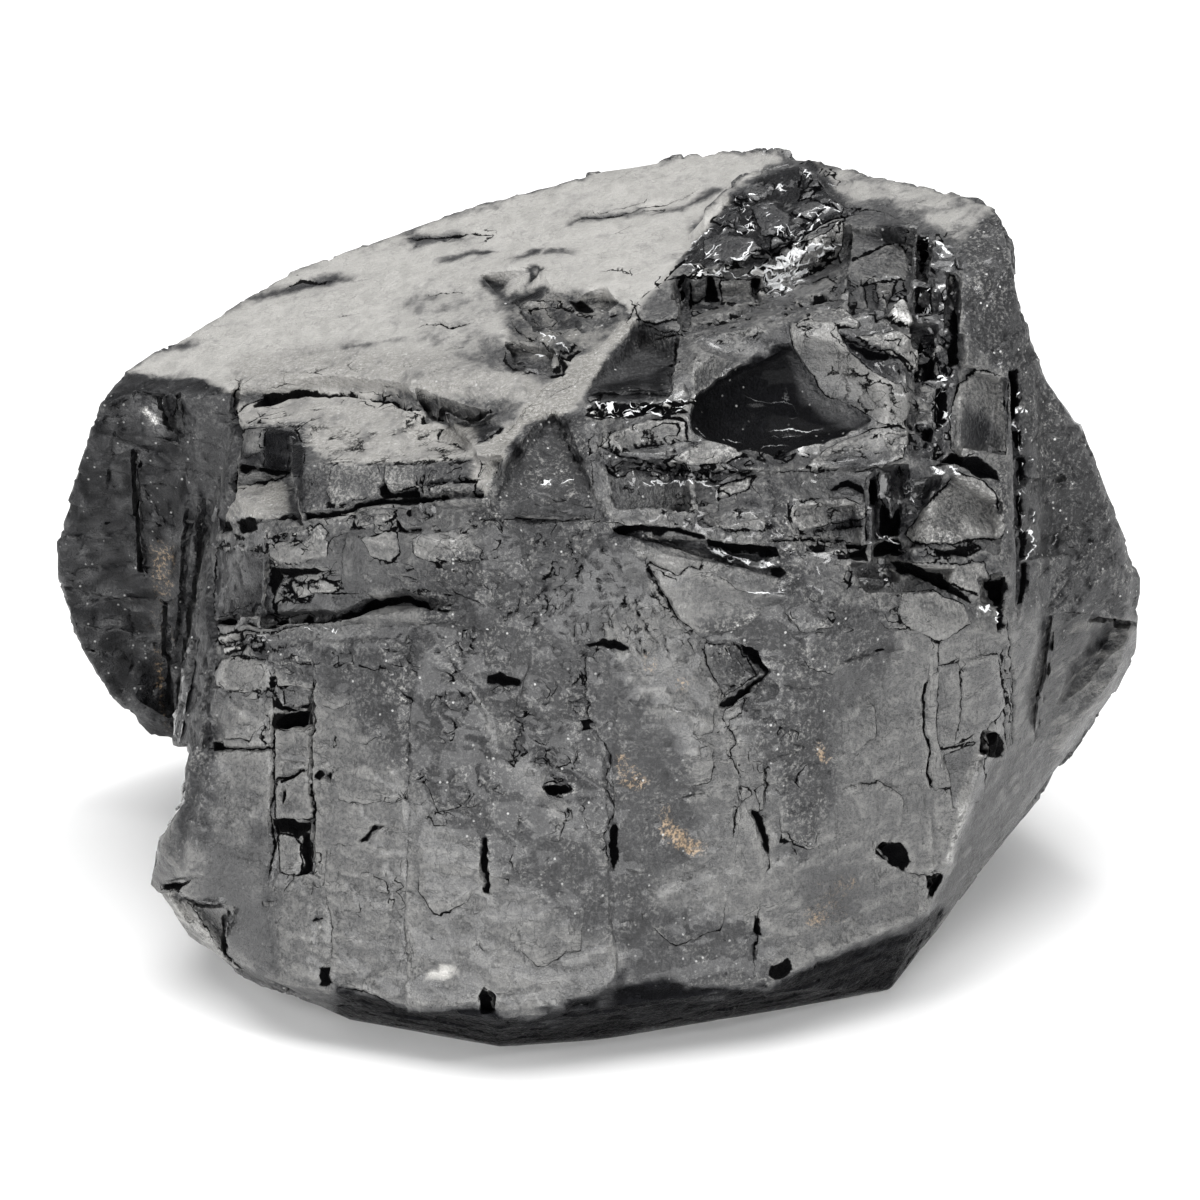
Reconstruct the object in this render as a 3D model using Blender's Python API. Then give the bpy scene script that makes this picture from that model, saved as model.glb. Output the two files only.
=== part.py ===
"""A lump of black house coal, one natural piece, broken out of its seam and resting on a flat break.

The lump is laid out as it is seen by an eye in front of it. A sight (x, y) is a place on the upright
sheet that stands through the lump's middle, in millimetres to the right and up from that middle, and a
sight line runs from the eye through that place. A corner is where a sight line meets a plane of coal.
"""

import math
import random

import bmesh
import bpy
from mathutils import Matrix, Vector
from mathutils.bvhtree import BVHTree

MM = 0.001

# ---- Driving dimensions: millimetres and degrees ------------------------------------------------
EYE_DISTANCE = 700.0  # from the eye to the lump's middle
EYE_LOOKS_DOWN = 25.0
MIDDLE_HEIGHT = 30.2  # of the lump's middle over the surface that it rests on

BEDDING_DIP = 12.8  # the beds dip to the left
BEDDING_HEIGHT = 60.3  # of the top bed over the middle of the base

LEFT_BREAK_DEPTH = 10.0  # how far behind the middle the left-hand break stands
BASE_CHAMFER = 6.5  # height of the undercut along the front of the base

UPPER_LEDGE = 1.4  # depth of the pale ledge under the top bed
LOWER_LEDGE = 6.6  # depth of the sandy ledge under the top bed
KNOB_HEIGHT = 3.0  # of the glossy knob over the top bed

CLEAR = 12.0  # how far a cutter stands out of the coal
TRIM = 60.0  # how far in front of the middle a trimming cutter starts
FLARE = 1.12  # how much wider a cutter is where it stands clear of the coal
ROOT = 5.0  # how far a raised block is rooted in the coal
CRACK_TAPER = 0.4  # how wide and deep a crack still is at its ends
FLAT = 0.05  # faces that meet this flatly are one face

BACK_SLABS = 34  # how many slabs have split off the sides and the back
BACK_KEPT = -24.0  # to the left of this the lobe keeps its own breaks
BACK_SEED = 11

# ---- The eye and its sight lines ----------------------------------------------------------------
LOOK = math.radians(EYE_LOOKS_DOWN)
AWAY = Vector((0.0, math.cos(LOOK), -math.sin(LOOK)))
UP = Vector((0.0, math.sin(LOOK), math.cos(LOOK)))
RIGHT = Vector((1.0, 0.0, 0.0))
EYE = Vector((0.0, 0.0, MIDDLE_HEIGHT)) - AWAY * EYE_DISTANCE


def sight_line(x, y):
    """The way from the eye to the sight (x, y), long enough to reach the sheet."""
    return AWAY * EYE_DISTANCE + RIGHT * x + UP * y


class Plane:
    """A flat break or bed: a point on it and the way it faces."""

    def __init__(self, point, normal):
        self.point = Vector(point)
        self.normal = Vector(normal).normalized()

    def seen_at(self, x, y):
        """Where the sight line at (x, y) meets this plane."""
        along = sight_line(x, y)
        return EYE + along * ((self.point - EYE).dot(self.normal) / along.dot(self.normal))

    def deeper(self, depth):
        """The plane that lies this much deeper in the coal."""
        return Plane(self.point - self.normal * depth, self.normal)


def level(height):
    return Plane((0.0, 0.0, height), (0.0, 0.0, 1.0))


def upright(depth):
    return Plane((0.0, depth, 0.0), (0.0, -1.0, 0.0))


def square_on(depth):
    """The plane that faces the eye and lies this far behind the lump's middle."""
    return Plane(EYE + AWAY * (EYE_DISTANCE + depth), -AWAY)


DIP = math.radians(BEDDING_DIP)
BEDDING = Plane((0.0, 0.0, BEDDING_HEIGHT), (-math.sin(DIP), 0.0, math.cos(DIP)))


def seen_on(plane, *sights):
    return [plane.seen_at(x, y) for x, y in sights]


# ---- The two hulls of the body ------------------------------------------------------------------
def body_corners():
    top_back = seen_on(
        BEDDING,
        (-36, 29.5), (-31, 32.8), (-22, 36.0), (-16, 38.2), (-6, 41.6), (0, 43.0),
        (10, 44.6), (18, 44.6), (28, 42.2), (36, 40.6), (39, 39.4),
    )
    top_front = seen_on(BEDDING, (40, 38), (-36, 20.6), (-30, 13.5), (-12, 13.2))
    base_front = seen_on(level(0.0), (-25, -42), (-10, -44.7), (0, -44), (18, -41), (29, -39))
    base_back = [
        Vector((x, y, 0))
        for x, y in ((36, 0), (31, 20), (12, 31), (-15, 31), (-31, 14), (-35, -8))
    ]
    toe = seen_on(level(BASE_CHAMFER), (-32, -38.4), (-10, -41.8), (1, -40), (17, -38.6), (31, -34.2))
    left_edge = (
        seen_on(upright(-22), (-44.6, -28.5))
        + seen_on(upright(-25), (-44, -24.8))
        + seen_on(upright(-19), (-38.6, -10))
        + seen_on(upright(-23), (-41.2, -33.5))
        + seen_on(upright(-29), (-36.3, -36.9))
    )
    right_edge = (
        seen_on(upright(-2), (41.2, 34))
        + seen_on(upright(-1), (44.2, 21.5))
        + seen_on(upright(0), (50.0, 12.5))
        + seen_on(upright(3), (54, 2.2))
        + seen_on(upright(4), (53.8, -5))
        + seen_on(upright(0), (50.5, -10.5))
        + seen_on(upright(-6), (42, -22))
        + seen_on(upright(-15), (34, -32.5))
    )
    shoulder = (
        seen_on(upright(-33), (0, 5))
        + seen_on(upright(-31), (22, -2))
        + seen_on(upright(-21), (40, -4))
        + seen_on(upright(-23), (37, -20))
    )
    back = [
        Vector(corner)
        for corner in (
            (47, 18, 34), (40, 30, 44), (38, 30, 20), (26, 40, 34), (22, 38, 12),
            (2, 43, 40), (-4, 41, 14), (-22, 40, 34), (-26, 33, 12), (-34, 24, 30),
        )
    ]
    return (
        top_back + top_front + base_front + base_back + toe + left_edge + right_edge
        + shoulder + back
    )


def lobe_corners():
    """The part that stands back on the left, behind an upright break."""
    top = seen_on(
        BEDDING,
        (-50, 19.8), (-47.5, 22.8), (-40, 27.0), (-36, 29.5), (-31, 32.8), (-24, 30), (-24, 20.8), (-36, 20.8),
    )
    face = seen_on(
        upright(LEFT_BREAK_DEPTH),
        (-52.5, 12), (-54.3, 6), (-54.3, 2), (-52.5, -4), (-49, -10), (-45, -13.5), (-41.5, -14.2),
    )
    inner = seen_on(upright(LEFT_BREAK_DEPTH + 4), (-30, -12), (-30, 15))
    behind = [
        Vector(corner)
        for corner in ((-48, 24, 24), (-46, 24, 38), (-38, 30, 16), (-30, 33, 30), (-28, 28, 12))
    ]
    return top + face + inner + behind


def knob_corners():
    """A glossy scrap of the next bed up that still stands on the front edge of the top bed."""
    crest = seen_on(BEDDING.deeper(-KNOB_HEIGHT), (14.2, 42.2), (17.5, 43.4), (20.6, 43.2))
    brow = seen_on(BEDDING.deeper(-KNOB_HEIGHT * 0.62), (10.6, 38.6), (13.4, 39.6), (19, 40.2), (23, 40.6))
    foot = seen_on(BEDDING.deeper(ROOT), (8.8, 36.0), (10, 33.5), (15.5, 34.8), (25, 38.0), (23.4, 41), (12, 39))
    lip = seen_on(BEDDING, (8.6, 36.2), (10.0, 33.4), (15.5, 34.4), (25.2, 38.3))
    return crest + brow + foot + lip


# ---- Solids -------------------------------------------------------------------------------------
def solid(name, corners):
    """A convex solid over these corners."""
    shape = bmesh.new()
    for corner in corners:
        shape.verts.new(corner)
    made = bmesh.ops.convex_hull(shape, input=shape.verts)
    inside = [v for v in made["geom_interior"] if isinstance(v, bmesh.types.BMVert)]
    bmesh.ops.delete(shape, geom=inside, context="VERTS")
    flat = math.radians(FLAT)
    bmesh.ops.dissolve_limit(shape, angle_limit=flat, verts=shape.verts, edges=shape.edges)
    bmesh.ops.recalc_face_normals(shape, faces=shape.faces)
    return place(name, shape)


def place(name, shape):
    mesh = bpy.data.meshes.new(name)
    shape.to_mesh(mesh)
    shape.free()
    placed = bpy.data.objects.new(name, mesh)
    bpy.context.scene.collection.objects.link(placed)
    return placed


def closed(mesh):
    """Leave the mesh in triangles, and tell whether it is one shell with no gap."""
    shape = bmesh.new()
    shape.from_mesh(mesh)
    bmesh.ops.triangulate(shape, faces=shape.faces)
    shape.to_mesh(mesh)
    whole = len(shape.faces) > 0 and all(edge.is_manifold for edge in shape.edges)
    reached = set()
    waiting = [next(iter(shape.verts))] if whole else []
    while waiting:
        vertex = waiting.pop()
        if vertex not in reached:
            reached.add(vertex)
            waiting.extend(edge.other_vert(vertex) for edge in vertex.link_edges)
    whole = whole and len(reached) == len(shape.verts)
    shape.free()
    return whole


class Coal:
    """The body, worked in millimetres, and its surface as it was before anything broke out of it."""

    def __init__(self, body):
        self.body = body
        self.skin = None

    def boolean(self, tool, operation):
        """Join or cut with this tool, keep the closed result, and put the tool away.

        Where the exact solver leaves a gap between slivers, the manifold solver makes the same cut.
        """
        before = self.body.data
        for solver in ("EXACT", "MANIFOLD"):
            self.body.data = before
            step = self.body.modifiers.new(tool.name, "BOOLEAN")
            step.operation = operation
            step.solver = solver
            step.object = tool
            whole = self.body.evaluated_get(bpy.context.evaluated_depsgraph_get())
            result = bpy.data.meshes.new_from_object(whole)
            self.body.modifiers.remove(step)
            if closed(result):
                self.body.data = result
                break
        else:
            print("no closed result with", tool.name)
        bpy.data.objects.remove(tool)

    def join(self, tool):
        self.boolean(tool, "UNION")

    def cut(self, tool):
        self.boolean(tool, "DIFFERENCE")

    def feel(self):
        """Remember the surface as it now is, for the sight lines to meet."""
        self.skin = BVHTree.FromObject(self.body, bpy.context.evaluated_depsgraph_get())

    def meet(self, start, way, beside):
        """Where a line first meets the remembered surface, or else what is nearest to beside."""
        point, normal, _, _ = self.skin.ray_cast(start, way)
        if point is None:
            point, normal, _, _ = self.skin.find_nearest(beside)
        return point, normal

    def seen_at(self, x, y):
        return self.meet(EYE, sight_line(x, y).normalized(), EYE + sight_line(x, y))

    def face_at(self, x, y):
        """The flat break that a sight line meets."""
        return Plane(*self.seen_at(x, y))

    def chip(self, name, depth, *sights, floor=None, flare=FLARE):
        """Break out a flake behind this convex outline.

        Its floor lies on the floor plane, or follows the surface at this depth; a depth for each
        corner gives a floor that slopes.
        """
        depths = depth if isinstance(depth, tuple) else (depth,) * len(sights)
        if floor is None:
            hits = [self.seen_at(x, y) for x, y in sights]
            normal = sum((n for _, n in hits), Vector()).normalized()
            rim = [point for point, _ in hits]
        else:
            normal = floor.normal
            rim = seen_on(floor, *sights)
        bottom = [point - normal * d for point, d in zip(rim, depths)]
        centre = sum(rim, Vector()) / len(rim)
        top = [centre + (point - centre) * flare + normal * CLEAR for point in rim]
        self.cut(solid(name, bottom + top))

    def trim(self, name, depth, *sights):
        """Take away all that is seen inside this outline, down to this far behind the middle."""
        self.cut(solid(name, seen_on(square_on(depth), *sights) + seen_on(square_on(-TRIM), *sights)))

    def crack(self, name, width, depth, *sights):
        """Open a crack along this line of sights: a wedge, sharp at the bottom, that tapers out."""
        hits = [self.seen_at(x, y) for x, y in sights]
        rings = []
        for number, (point, normal) in enumerate(hits):
            before, after = hits[max(number - 1, 0)][0], hits[min(number + 1, len(hits) - 1)][0]
            end = number in (0, len(hits) - 1)
            size = CRACK_TAPER if end else 1.0
            along = (after - before).normalized()
            across = along.cross(normal).normalized() * (width / 2 * size)
            lift = normal * (width * 1.5)
            rings.append((
                point + across * 3 + lift,
                point - across * 3 + lift,
                point - across,
                point - normal * depth * size,
                point + across,
            ))
        shape = bmesh.new()
        loops = [[shape.verts.new(corner) for corner in ring] for ring in rings]
        shape.faces.new(loops[0])
        shape.faces.new(loops[-1])
        for near, far in zip(loops, loops[1:]):
            for a, b in zip(range(5), (1, 2, 3, 4, 0)):
                shape.faces.new((near[a], near[b], far[b], far[a]))
        bmesh.ops.triangulate(shape, faces=shape.faces)
        bmesh.ops.recalc_face_normals(shape, faces=shape.faces)
        self.cut(place(name, shape))

    def scoop(self, name, middle, size, depth, turn=0.0, tip=Vector()):
        """Break out a shell-shaped hollow: size is its half width, half height and roundness."""
        point, normal = self.seen_at(*middle)
        normal = (normal + tip).normalized()
        shape = bmesh.new()
        bmesh.ops.create_icosphere(shape, subdivisions=3, radius=1.0)
        side = RIGHT - normal * RIGHT.dot(normal)
        side.normalize()
        frame = Matrix((side, normal.cross(side), normal)).transposed().to_4x4()
        wide, high, round_ = size
        scale = Matrix.Diagonal((wide, high, round_, 1.0))
        spin = Matrix.Rotation(math.radians(turn), 4, "Z")
        centre = point + normal * (round_ - depth)
        place_at = Matrix.Translation(centre) @ frame @ spin @ scale
        bmesh.ops.transform(shape, matrix=place_at, verts=shape.verts)
        self.cut(place(name, shape))


# ---- What has broken out of the front -----------------------------------------------------------
def break_left_ledges(coal):
    """Stepped beds over the left of the front."""
    pale = BEDDING.deeper(UPPER_LEDGE)
    sandy = BEDDING.deeper(LOWER_LEDGE)
    front = coal.face_at(-24, 3)
    coal.chip(
        "pale ledge", 0,
        (-36.5, 20.0), (-27, 21.3), (-20, 20.6), (-17, 19.4), (-12.2, 14.0), (-11, 8), (-38, 8),
        floor=pale, flare=1.0,
    )
    coal.chip(
        "wedge over the ledge", 0,
        (-18.2, 19.4), (-14.5, 18.6), (-10.6, 17.3), (-10.0, 16.4), (-12.0, 15.2), (-16.5, 17.0),
        floor=BEDDING.deeper(UPPER_LEDGE + 1.2),
    )
    coal.chip(
        "cubic recess", 0,
        (-38, 11.8), (-29.6, 11.8), (-29.4, 5), (-40, 5),
        floor=sandy, flare=1.0,
    )
    coal.chip("riser blocks", 1.4, (-30, 8.6), (-10.8, 10.2), (-9.8, 14.5), (-30, 14.5))
    coal.chip(
        "upper riser", 0,
        (-41, 7.7), (-9.5, 9.4), (-8.6, 0.0), (-41, -1.0),
        floor=front.deeper(1.1), flare=1.0,
    )
    coal.crack("ledge crack", 0.9, 2.4, (-37, 7.6), (-30, 8.4), (-15, 10.2))
    coal.crack("main parting", 1.2, 3.4, (-38.2, -2.2), (-27, -1.2), (-15, 0.1), (-9, -1.8))
    coal.chip(
        "dark block", 0,
        (-41, 4.4), (-32.8, 4.2), (-32.8, -1.4), (-41, -1.9),
        floor=front.deeper(2.8), flare=1.0,
    )
    coal.chip("dark block above", (1.0, 1.6, 2.2, 2.0), (-31.6, 3.2), (-15.6, 1.6), (-15, -0.6), (-31.6, -1.2))


def break_cleats(coal):
    """Upright cracks and the small blocks that have dropped out between them."""
    coal.crack("cleat", 0.5, 1.6, (-32.6, -7.5), (-32.8, -18), (-32.4, -27), (-33.6, -38))
    coal.crack("second cleat", 0.5, 1.3, (-28.8, -5.6), (-28.6, -19), (-28.4, -27), (-27, -40))
    coal.crack("third cleat", 0.4, 1.0, (-19, -17), (-19.2, -40))
    coal.crack("fourth cleat", 0.7, 1.8, (-11.8, -23.0), (-11.6, -29.4), (-12, -41))
    coal.chip("upper pit", (1.2, 1.2, 3.0, 3.0), (-32.5, -9.0), (-29.0, -9.0), (-29.0, -12.6), (-32.5, -12.6))
    coal.chip("middle pit", (2.0, 2.0, 1.0, 1.0), (-32.5, -16.2), (-29.2, -16.2), (-29.4, -18.4), (-32.4, -18.4))
    coal.chip("lower pit", (0.8, 2.2, 2.2, 0.8), (-32.0, -22.2), (-29.0, -22.2), (-29.0, -27.2), (-32.0, -27.2))
    coal.chip("small wedge pit", (0.6, 2.2, 0.6), (-28.6, -16.4), (-26.6, -17.4), (-28.0, -18.6))
    coal.crack("level crack", 0.5, 1.4, (-39.4, -14.4), (-33, -14.8))
    coal.crack("bulge crack", 0.7, 1.8, (-44.4, -28.2), (-40, -27.6), (-36.4, -29.0))
    coal.chip("bulge flake", (0.2, 2.2, 1.6, 0.2), (-43.5, -29.0), (-41.6, -31.8), (-37, -36.2), (-36.4, -30.4))
    coal.trim("waist", 20, (-48, -14.4), (-41.0, -14.4), (-41.3, -20), (-43.6, -23.8), (-48, -23.8))
    coal.chip("notch", 2.4, (-11.8, -38.8), (-10.4, -39.4), (-10.6, -41.4), (-12, -41.4))


def break_middle(coal):
    """The dull wedge, the fan under it and the cracks to its right."""
    coal.chip("dull wedge", (0.2, 1.8, 0.6), (-11.4, 8.6), (-4.8, 19.4), (0.6, 8.0))
    coal.chip("fan flank", (0.2, 2.2, 0.4), (-4.5, 3.0), (-9.5, -14.0), (-16.5, -3.0))
    coal.chip("fan groove", (0.3, 2.4, 2.0, 0.3), (-3.5, -3.0), (1.8, -20.5), (0.2, -17), (-9.0, -12.5))
    coal.crack("curved groove", 1.6, 2.2, (-2.5, -6), (-0.4, -14), (0.8, -20.5), (2.2, -27.5))
    coal.chip("small pit", 2.4, (-6.0, -18.6), (-3.2, -18.2), (-3.4, -19.8), (-5.2, -20.0))
    coal.crack("glinting crack", 1.5, 3.2, (1.5, 7.2), (8, 6.0), (13, 4.2), (18, 2.4))
    coal.chip("corner wedge", (3.2, 1.2, 2.6, 3.6, 1.6), (12.6, -5.0), (14.6, -4.4), (17.2, -6.8), (16.2, -8.4), (13.6, -7.0))
    coal.chip("corner wedge tail", (3.0, 1.4, 1.0, 3.4), (16.9, -6.6), (17.0, -8.0), (12.9, -10.6), (12.4, -9.6))
    coal.crack("zigzag crack", 0.8, 1.8, (13.0, -10), (12.9, -14), (14.2, -18), (13.2, -21), (14.6, -25), (14.4, -28))
    coal.crack("zigzag branch", 0.7, 1.6, (15.4, -21), (15.6, -24), (16.8, -27.5), (15.6, -36))
    coal.chip("broad flake", (0.1, 0.1, 1.8, 1.4), (4.2, 3.4), (19, -0.2), (18, -10), (7.6, -7.5))
    coal.chip("lower flake", (0.1, 1.6, 1.0, 0.1), (2.4, -21), (12.6, -19), (12.4, -33), (6, -33))


def break_right(coal):
    """Plates and pits on the right of the front, and the granular right-hand side."""
    coal.crack("plate edge", 0.6, 1.3, (31.8, -6), (33.4, -15), (32.4, -22), (33.0, -27))
    coal.chip("edge pit", (2.4, 1.0, 2.6, 2.6), (38.2, -13.0), (40.0, -13.6), (39.6, -15.8), (38.0, -15.2))
    coal.chip("low pit", (2.8, 2.4, 0.8, 0.8), (27.6, -24.2), (29.4, -24.2), (31.2, -26.8), (29.4, -26.4))
    coal.chip("lowest pit", (2.2, 2.4, 0.8), (32.4, -27.4), (34.4, -27.6), (33.0, -30.4))
    coal.chip("upper right step", (0.4, 1.8, 1.8, 0.4), (21, -7), (31, -5), (31.5, -12), (22, -13))
    coal.trim("right waist", 50, (41.8, 30.0), (42.6, 26.5), (44.8, 21.6), (47.6, 17.6), (60, 17.6), (60, 30.0))
    coal.trim("right brow", 50, (40.6, 38.0), (41.4, 31.0), (42.2, 27.5), (60, 27.5), (60, 38.0))
    coal.chip("side flake", (0.2, 1.8, 2.4, 0.4), (45.5, -1.0), (53.8, -2.4), (52.0, -9.5), (43.5, -14.0))
    coal.chip("side block", (0.3, 1.6, 1.6, 0.3), (42.0, 12.0), (47.5, 12.5), (48.5, 5.0), (42.5, 4.0))


def break_fracture(coal):
    """The shell-shaped break over the right of the front, in stairs from the knob down."""
    coal.chip("knob wall", (3.4, 4.4, 3.6, 0.2, 0.2), (7.4, 32.0), (15.6, 34.6), (25.0, 37.6), (24.0, 29.6), (8.2, 26.6))
    coal.chip("upper plate", (0.6, 3.0, 2.6, 0.4), (24.6, 37.2), (31.4, 37.2), (31.2, 30.0), (25.0, 28.6))
    coal.scoop("black hollow", (19.0, 20.2), (12.2, 8.4, 7.0), 3.9, turn=-14)
    coal.scoop("upper hollow", (14.6, 25.8), (9.6, 3.6, 4.0), 1.8, turn=-24)
    coal.scoop("bright hollow", (21.0, 32.6), (6.6, 3.6, 3.6), 1.6, turn=24)
    coal.scoop("left hollow", (4.6, 17.2), (5.2, 3.2, 3.0), 1.3, turn=10)
    coal.scoop("lens hollow", (23.5, 11.6), (7.0, 3.0, 3.0), 1.3, turn=-8)
    coal.scoop("bright dimple", (30.4, 29.2), (2.4, 3.0, 2.0), 1.2)
    coal.chip("left plate", (0.2, 3.2, 3.0, 0.4), (-1.8, 20.6), (3.8, 28.4), (7.8, 26.6), (7.2, 20.8))
    coal.chip("knob step", (2.6, 1.2, 0.8, 2.4), (7.4, 32.6), (10.2, 32.2), (9.6, 29.8), (7.0, 30.0))
    coal.chip("second knob step", (2.6, 2.0, 0.4, 0.6), (10.8, 31.6), (15.4, 32.6), (16.6, 28.6), (11.4, 27.6))
    for number, (left, top, right, bottom, depth) in enumerate(
        (
            (31.6, 36.2, 33.4, 31.4, 3.6), (31.8, 31.0, 34.2, 28.6, 2.4), (31.4, 28.2, 34.0, 24.8, 3.8),
            (32.0, 24.4, 34.6, 20.0, 3.0), (31.4, 19.6, 34.2, 16.6, 3.4), (34.6, 33.0, 36.2, 26.0, 2.2),
        ),
        start=1,
    ):
        coal.chip(
            f"crack block {number}", (depth, depth * 0.6, depth * 0.5, depth),
            (left, top), (right, top - 0.5), (right - 0.4, bottom), (left - 0.3, bottom + 0.6),
        )
    coal.chip("crack band", (0.3, 1.4, 1.6, 0.3), (30.6, 26.0), (36.6, 26.6), (36.2, 13.6), (30.8, 14.4))
    coal.chip("right plate", (0.4, 2.0, 2.4, 0.4), (35.0, 24.0), (41.0, 22.0), (40.6, 14.6), (34.8, 15.4))
    coal.chip("trench", (4.6, 3.4, 5.2, 5.6), (27.4, 13.0), (31.0, 13.6), (31.4, 2.2), (27.2, 2.6))
    coal.chip("trench branch", (4.0, 2.2, 3.0, 4.4), (31.6, 12.0), (34.4, 12.6), (32.4, 5.4), (30.8, 5.0))
    coal.chip("trench foot", (2.8, 2.0, 1.0, 2.6), (25.0, 3.8), (35.6, 3.2), (34.6, 0.8), (26.6, 0.8))
    coal.chip("leaning plate", (0.6, 1.6, 2.6, 0.4), (31.8, 8.0), (35.4, 12.4), (40.4, 9.8), (40.0, 4.4))
    coal.chip("plate pit", (3.0, 2.0, 2.2, 3.2), (37.6, 2.2), (40.4, 2.8), (40.2, -0.6), (38.4, -0.4))
    coal.crack("right groove", 1.8, 3.4, (41.4, 22.6), (41.8, 14.0), (42.2, 5.0), (41.8, -2.0))
    coal.chip("shelf", (0.2, 2.0, 2.4, 0.6), (0.6, 13.8), (8.6, 14.0), (9.0, 9.0), (1.6, 9.2))
    coal.chip("middle shelf", (1.8, 0.4, 0.2, 1.8), (9.6, 12.8), (18.0, 13.0), (18.4, 8.4), (10.0, 7.4))
    coal.chip("lower shelf", (0.2, 1.8, 2.0, 0.2), (19.4, 9.4), (26.0, 9.8), (26.2, 5.4), (19.6, 4.6))
    coal.chip("low step", (0.2, 1.4, 1.6, 0.2), (2.0, 7.2), (17.0, 5.0), (17.0, 2.6), (6.0, 4.8))


def break_top(coal):
    """Small blocks lifted off the top bed."""
    coal.chip("top block", (1.6, 0.3, 0.3, 1.6), (-12.0, 32.6), (-6.0, 33.4), (-4.6, 30.4), (-9.6, 30.0))
    coal.chip("second top block", (1.8, 0.4, 0.5, 2.0), (-8.8, 30.0), (-2.4, 31.0), (-0.4, 27.6), (-6.4, 26.8))
    coal.chip("third top block", (0.4, 2.0, 1.8, 0.4), (-4.0, 29.8), (0.4, 31.4), (1.8, 29.8), (-1.8, 26.6))
    coal.chip("fourth top block", (1.7, 1.2, 0.4, 0.6), (-9.6, 26.0), (-4.4, 25.4), (-4.8, 22.6), (-8.8, 23.6))
    coal.crack("top streak", 0.7, 0.8, (-19.5, 36.6), (-15, 36.0), (-10.6, 36.7))
    coal.crack("left top streak", 0.8, 0.8, (-31.5, 31.0), (-27.2, 31.9))
    coal.crack("long top streak", 0.5, 0.6, (-4, 37.4), (3, 39.0), (9, 40.6))


def break_left_side(coal):
    """The rough dark break on the far left."""
    coal.chip("left notch", (0.2, 2.4, 2.6, 0.4), (-46.5, 21.0), (-43.5, 20.6), (-42.6, 16.0), (-46.0, 16.6))
    coal.chip("left flake", (0.3, 2.2, 2.8, 0.4), (-51.0, 14.0), (-46.4, 15.0), (-45.8, 2.0), (-52.6, 2.0))
    coal.chip("left low flake", (0.3, 1.8, 2.2, 0.6), (-50.6, -0.5), (-43.4, 0.0), (-42.6, -12.0), (-47.0, -9.5))
    coal.crack("left upright crack", 1.2, 2.0, (-41.8, 20.6), (-41.4, 8.0), (-42.2, -6.0))


# ---- What has broken out of the sides and the back ----------------------------------------------
def break_back(coal):
    """Slabs split off between the beds and the cleats, where the coal faces away from the eye."""
    draw = random.Random(BACK_SEED)
    beds = Matrix.Rotation(-DIP, 3, "Y")
    made = 0
    while made < BACK_SLABS:
        turn = draw.uniform(-10, 190)
        lean = draw.uniform(-14, 22)
        aim = Vector((draw.uniform(-20, 20), 8.0, draw.uniform(8, 54)))
        way = beds @ Matrix.Rotation(math.radians(turn), 3, "Z") @ Vector((-1.0, 0.0, 0.0))
        point, normal = coal.meet(aim - way * 90.0, way, aim)
        size = Vector((16.0, draw.uniform(14, 38), draw.uniform(5, 17)))
        depth = draw.uniform(0.7, 2.2)
        spin = draw.uniform(-9, 9)
        if normal.dot(AWAY) < 0.16 or normal.z > 0.8 or point.z < 7 or point.x < BACK_KEPT:
            continue
        made += 1
        side = Vector((normal.x, normal.y, 0.0)).normalized()
        face = math.atan2(side.y, side.x)
        rise = math.asin(normal.z) + math.radians(lean) * 0.4
        frame = (
            Matrix.Rotation(face, 3, "Z")
            @ Matrix.Rotation(-rise, 3, "Y")
            @ Matrix.Rotation(math.radians(spin) + DIP * side.y, 3, "X")
        )
        centre = point + frame @ Vector((size.x / 2 - depth, 0.0, 0.0))
        corners = []
        for across in (-1, 1):
            for up in (-1, 1):
                skew = draw.uniform(-3.0, 3.0)
                sink = draw.uniform(0.0, 0.9)
                half = Vector((size.x / 2, across * (size.y / 2 + skew), up * size.z / 2 + skew * 0.3))
                corners.append(centre + frame @ half)
                corners.append(centre + frame @ Vector((-half.x + sink, half.y, half.z)))
        coal.cut(solid(f"back slab {made}", corners))


# ---- The lump -----------------------------------------------------------------------------------
def coal_material():
    material = bpy.data.materials.new("coal")
    material.use_nodes = True
    surface = material.node_tree.nodes["Principled BSDF"]
    surface.inputs["Base Color"].default_value = (0.03, 0.03, 0.032, 1.0)
    surface.inputs["Roughness"].default_value = 0.45
    return material


def stand_at_origin(body):
    """Stand the middle of the lump's box over the origin and bring the mesh to metres."""
    shape = bmesh.new()
    shape.from_mesh(body.data)
    flat = math.radians(FLAT)
    bmesh.ops.dissolve_limit(shape, angle_limit=flat, verts=shape.verts, edges=shape.edges)
    bmesh.ops.triangulate(shape, faces=shape.faces)
    print("gaps left:", sum(not edge.is_manifold for edge in shape.edges))
    low = Vector(min(vertex.co[axis] for vertex in shape.verts) for axis in range(3))
    high = Vector(max(vertex.co[axis] for vertex in shape.verts) for axis in range(3))
    shift = Vector((-(low.x + high.x) / 2, -(low.y + high.y) / 2, -low.z))
    bmesh.ops.translate(shape, verts=shape.verts, vec=shift)
    bmesh.ops.scale(shape, verts=shape.verts, vec=(MM, MM, MM))
    shape.to_mesh(body.data)
    shape.free()
    print("moved by", [round(v, 3) for v in shift])


def main():
    for old in list(bpy.data.objects):
        bpy.data.objects.remove(old)
    body = solid("coal_lump", body_corners())
    body.data.materials.append(coal_material())
    coal = Coal(body)
    coal.join(solid("left lobe", lobe_corners()))
    coal.join(solid("knob", knob_corners()))
    coal.feel()
    break_left_ledges(coal)
    break_cleats(coal)
    break_middle(coal)
    break_right(coal)
    break_fracture(coal)
    break_top(coal)
    break_left_side(coal)
    break_back(coal)
    stand_at_origin(body)


main()
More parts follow.
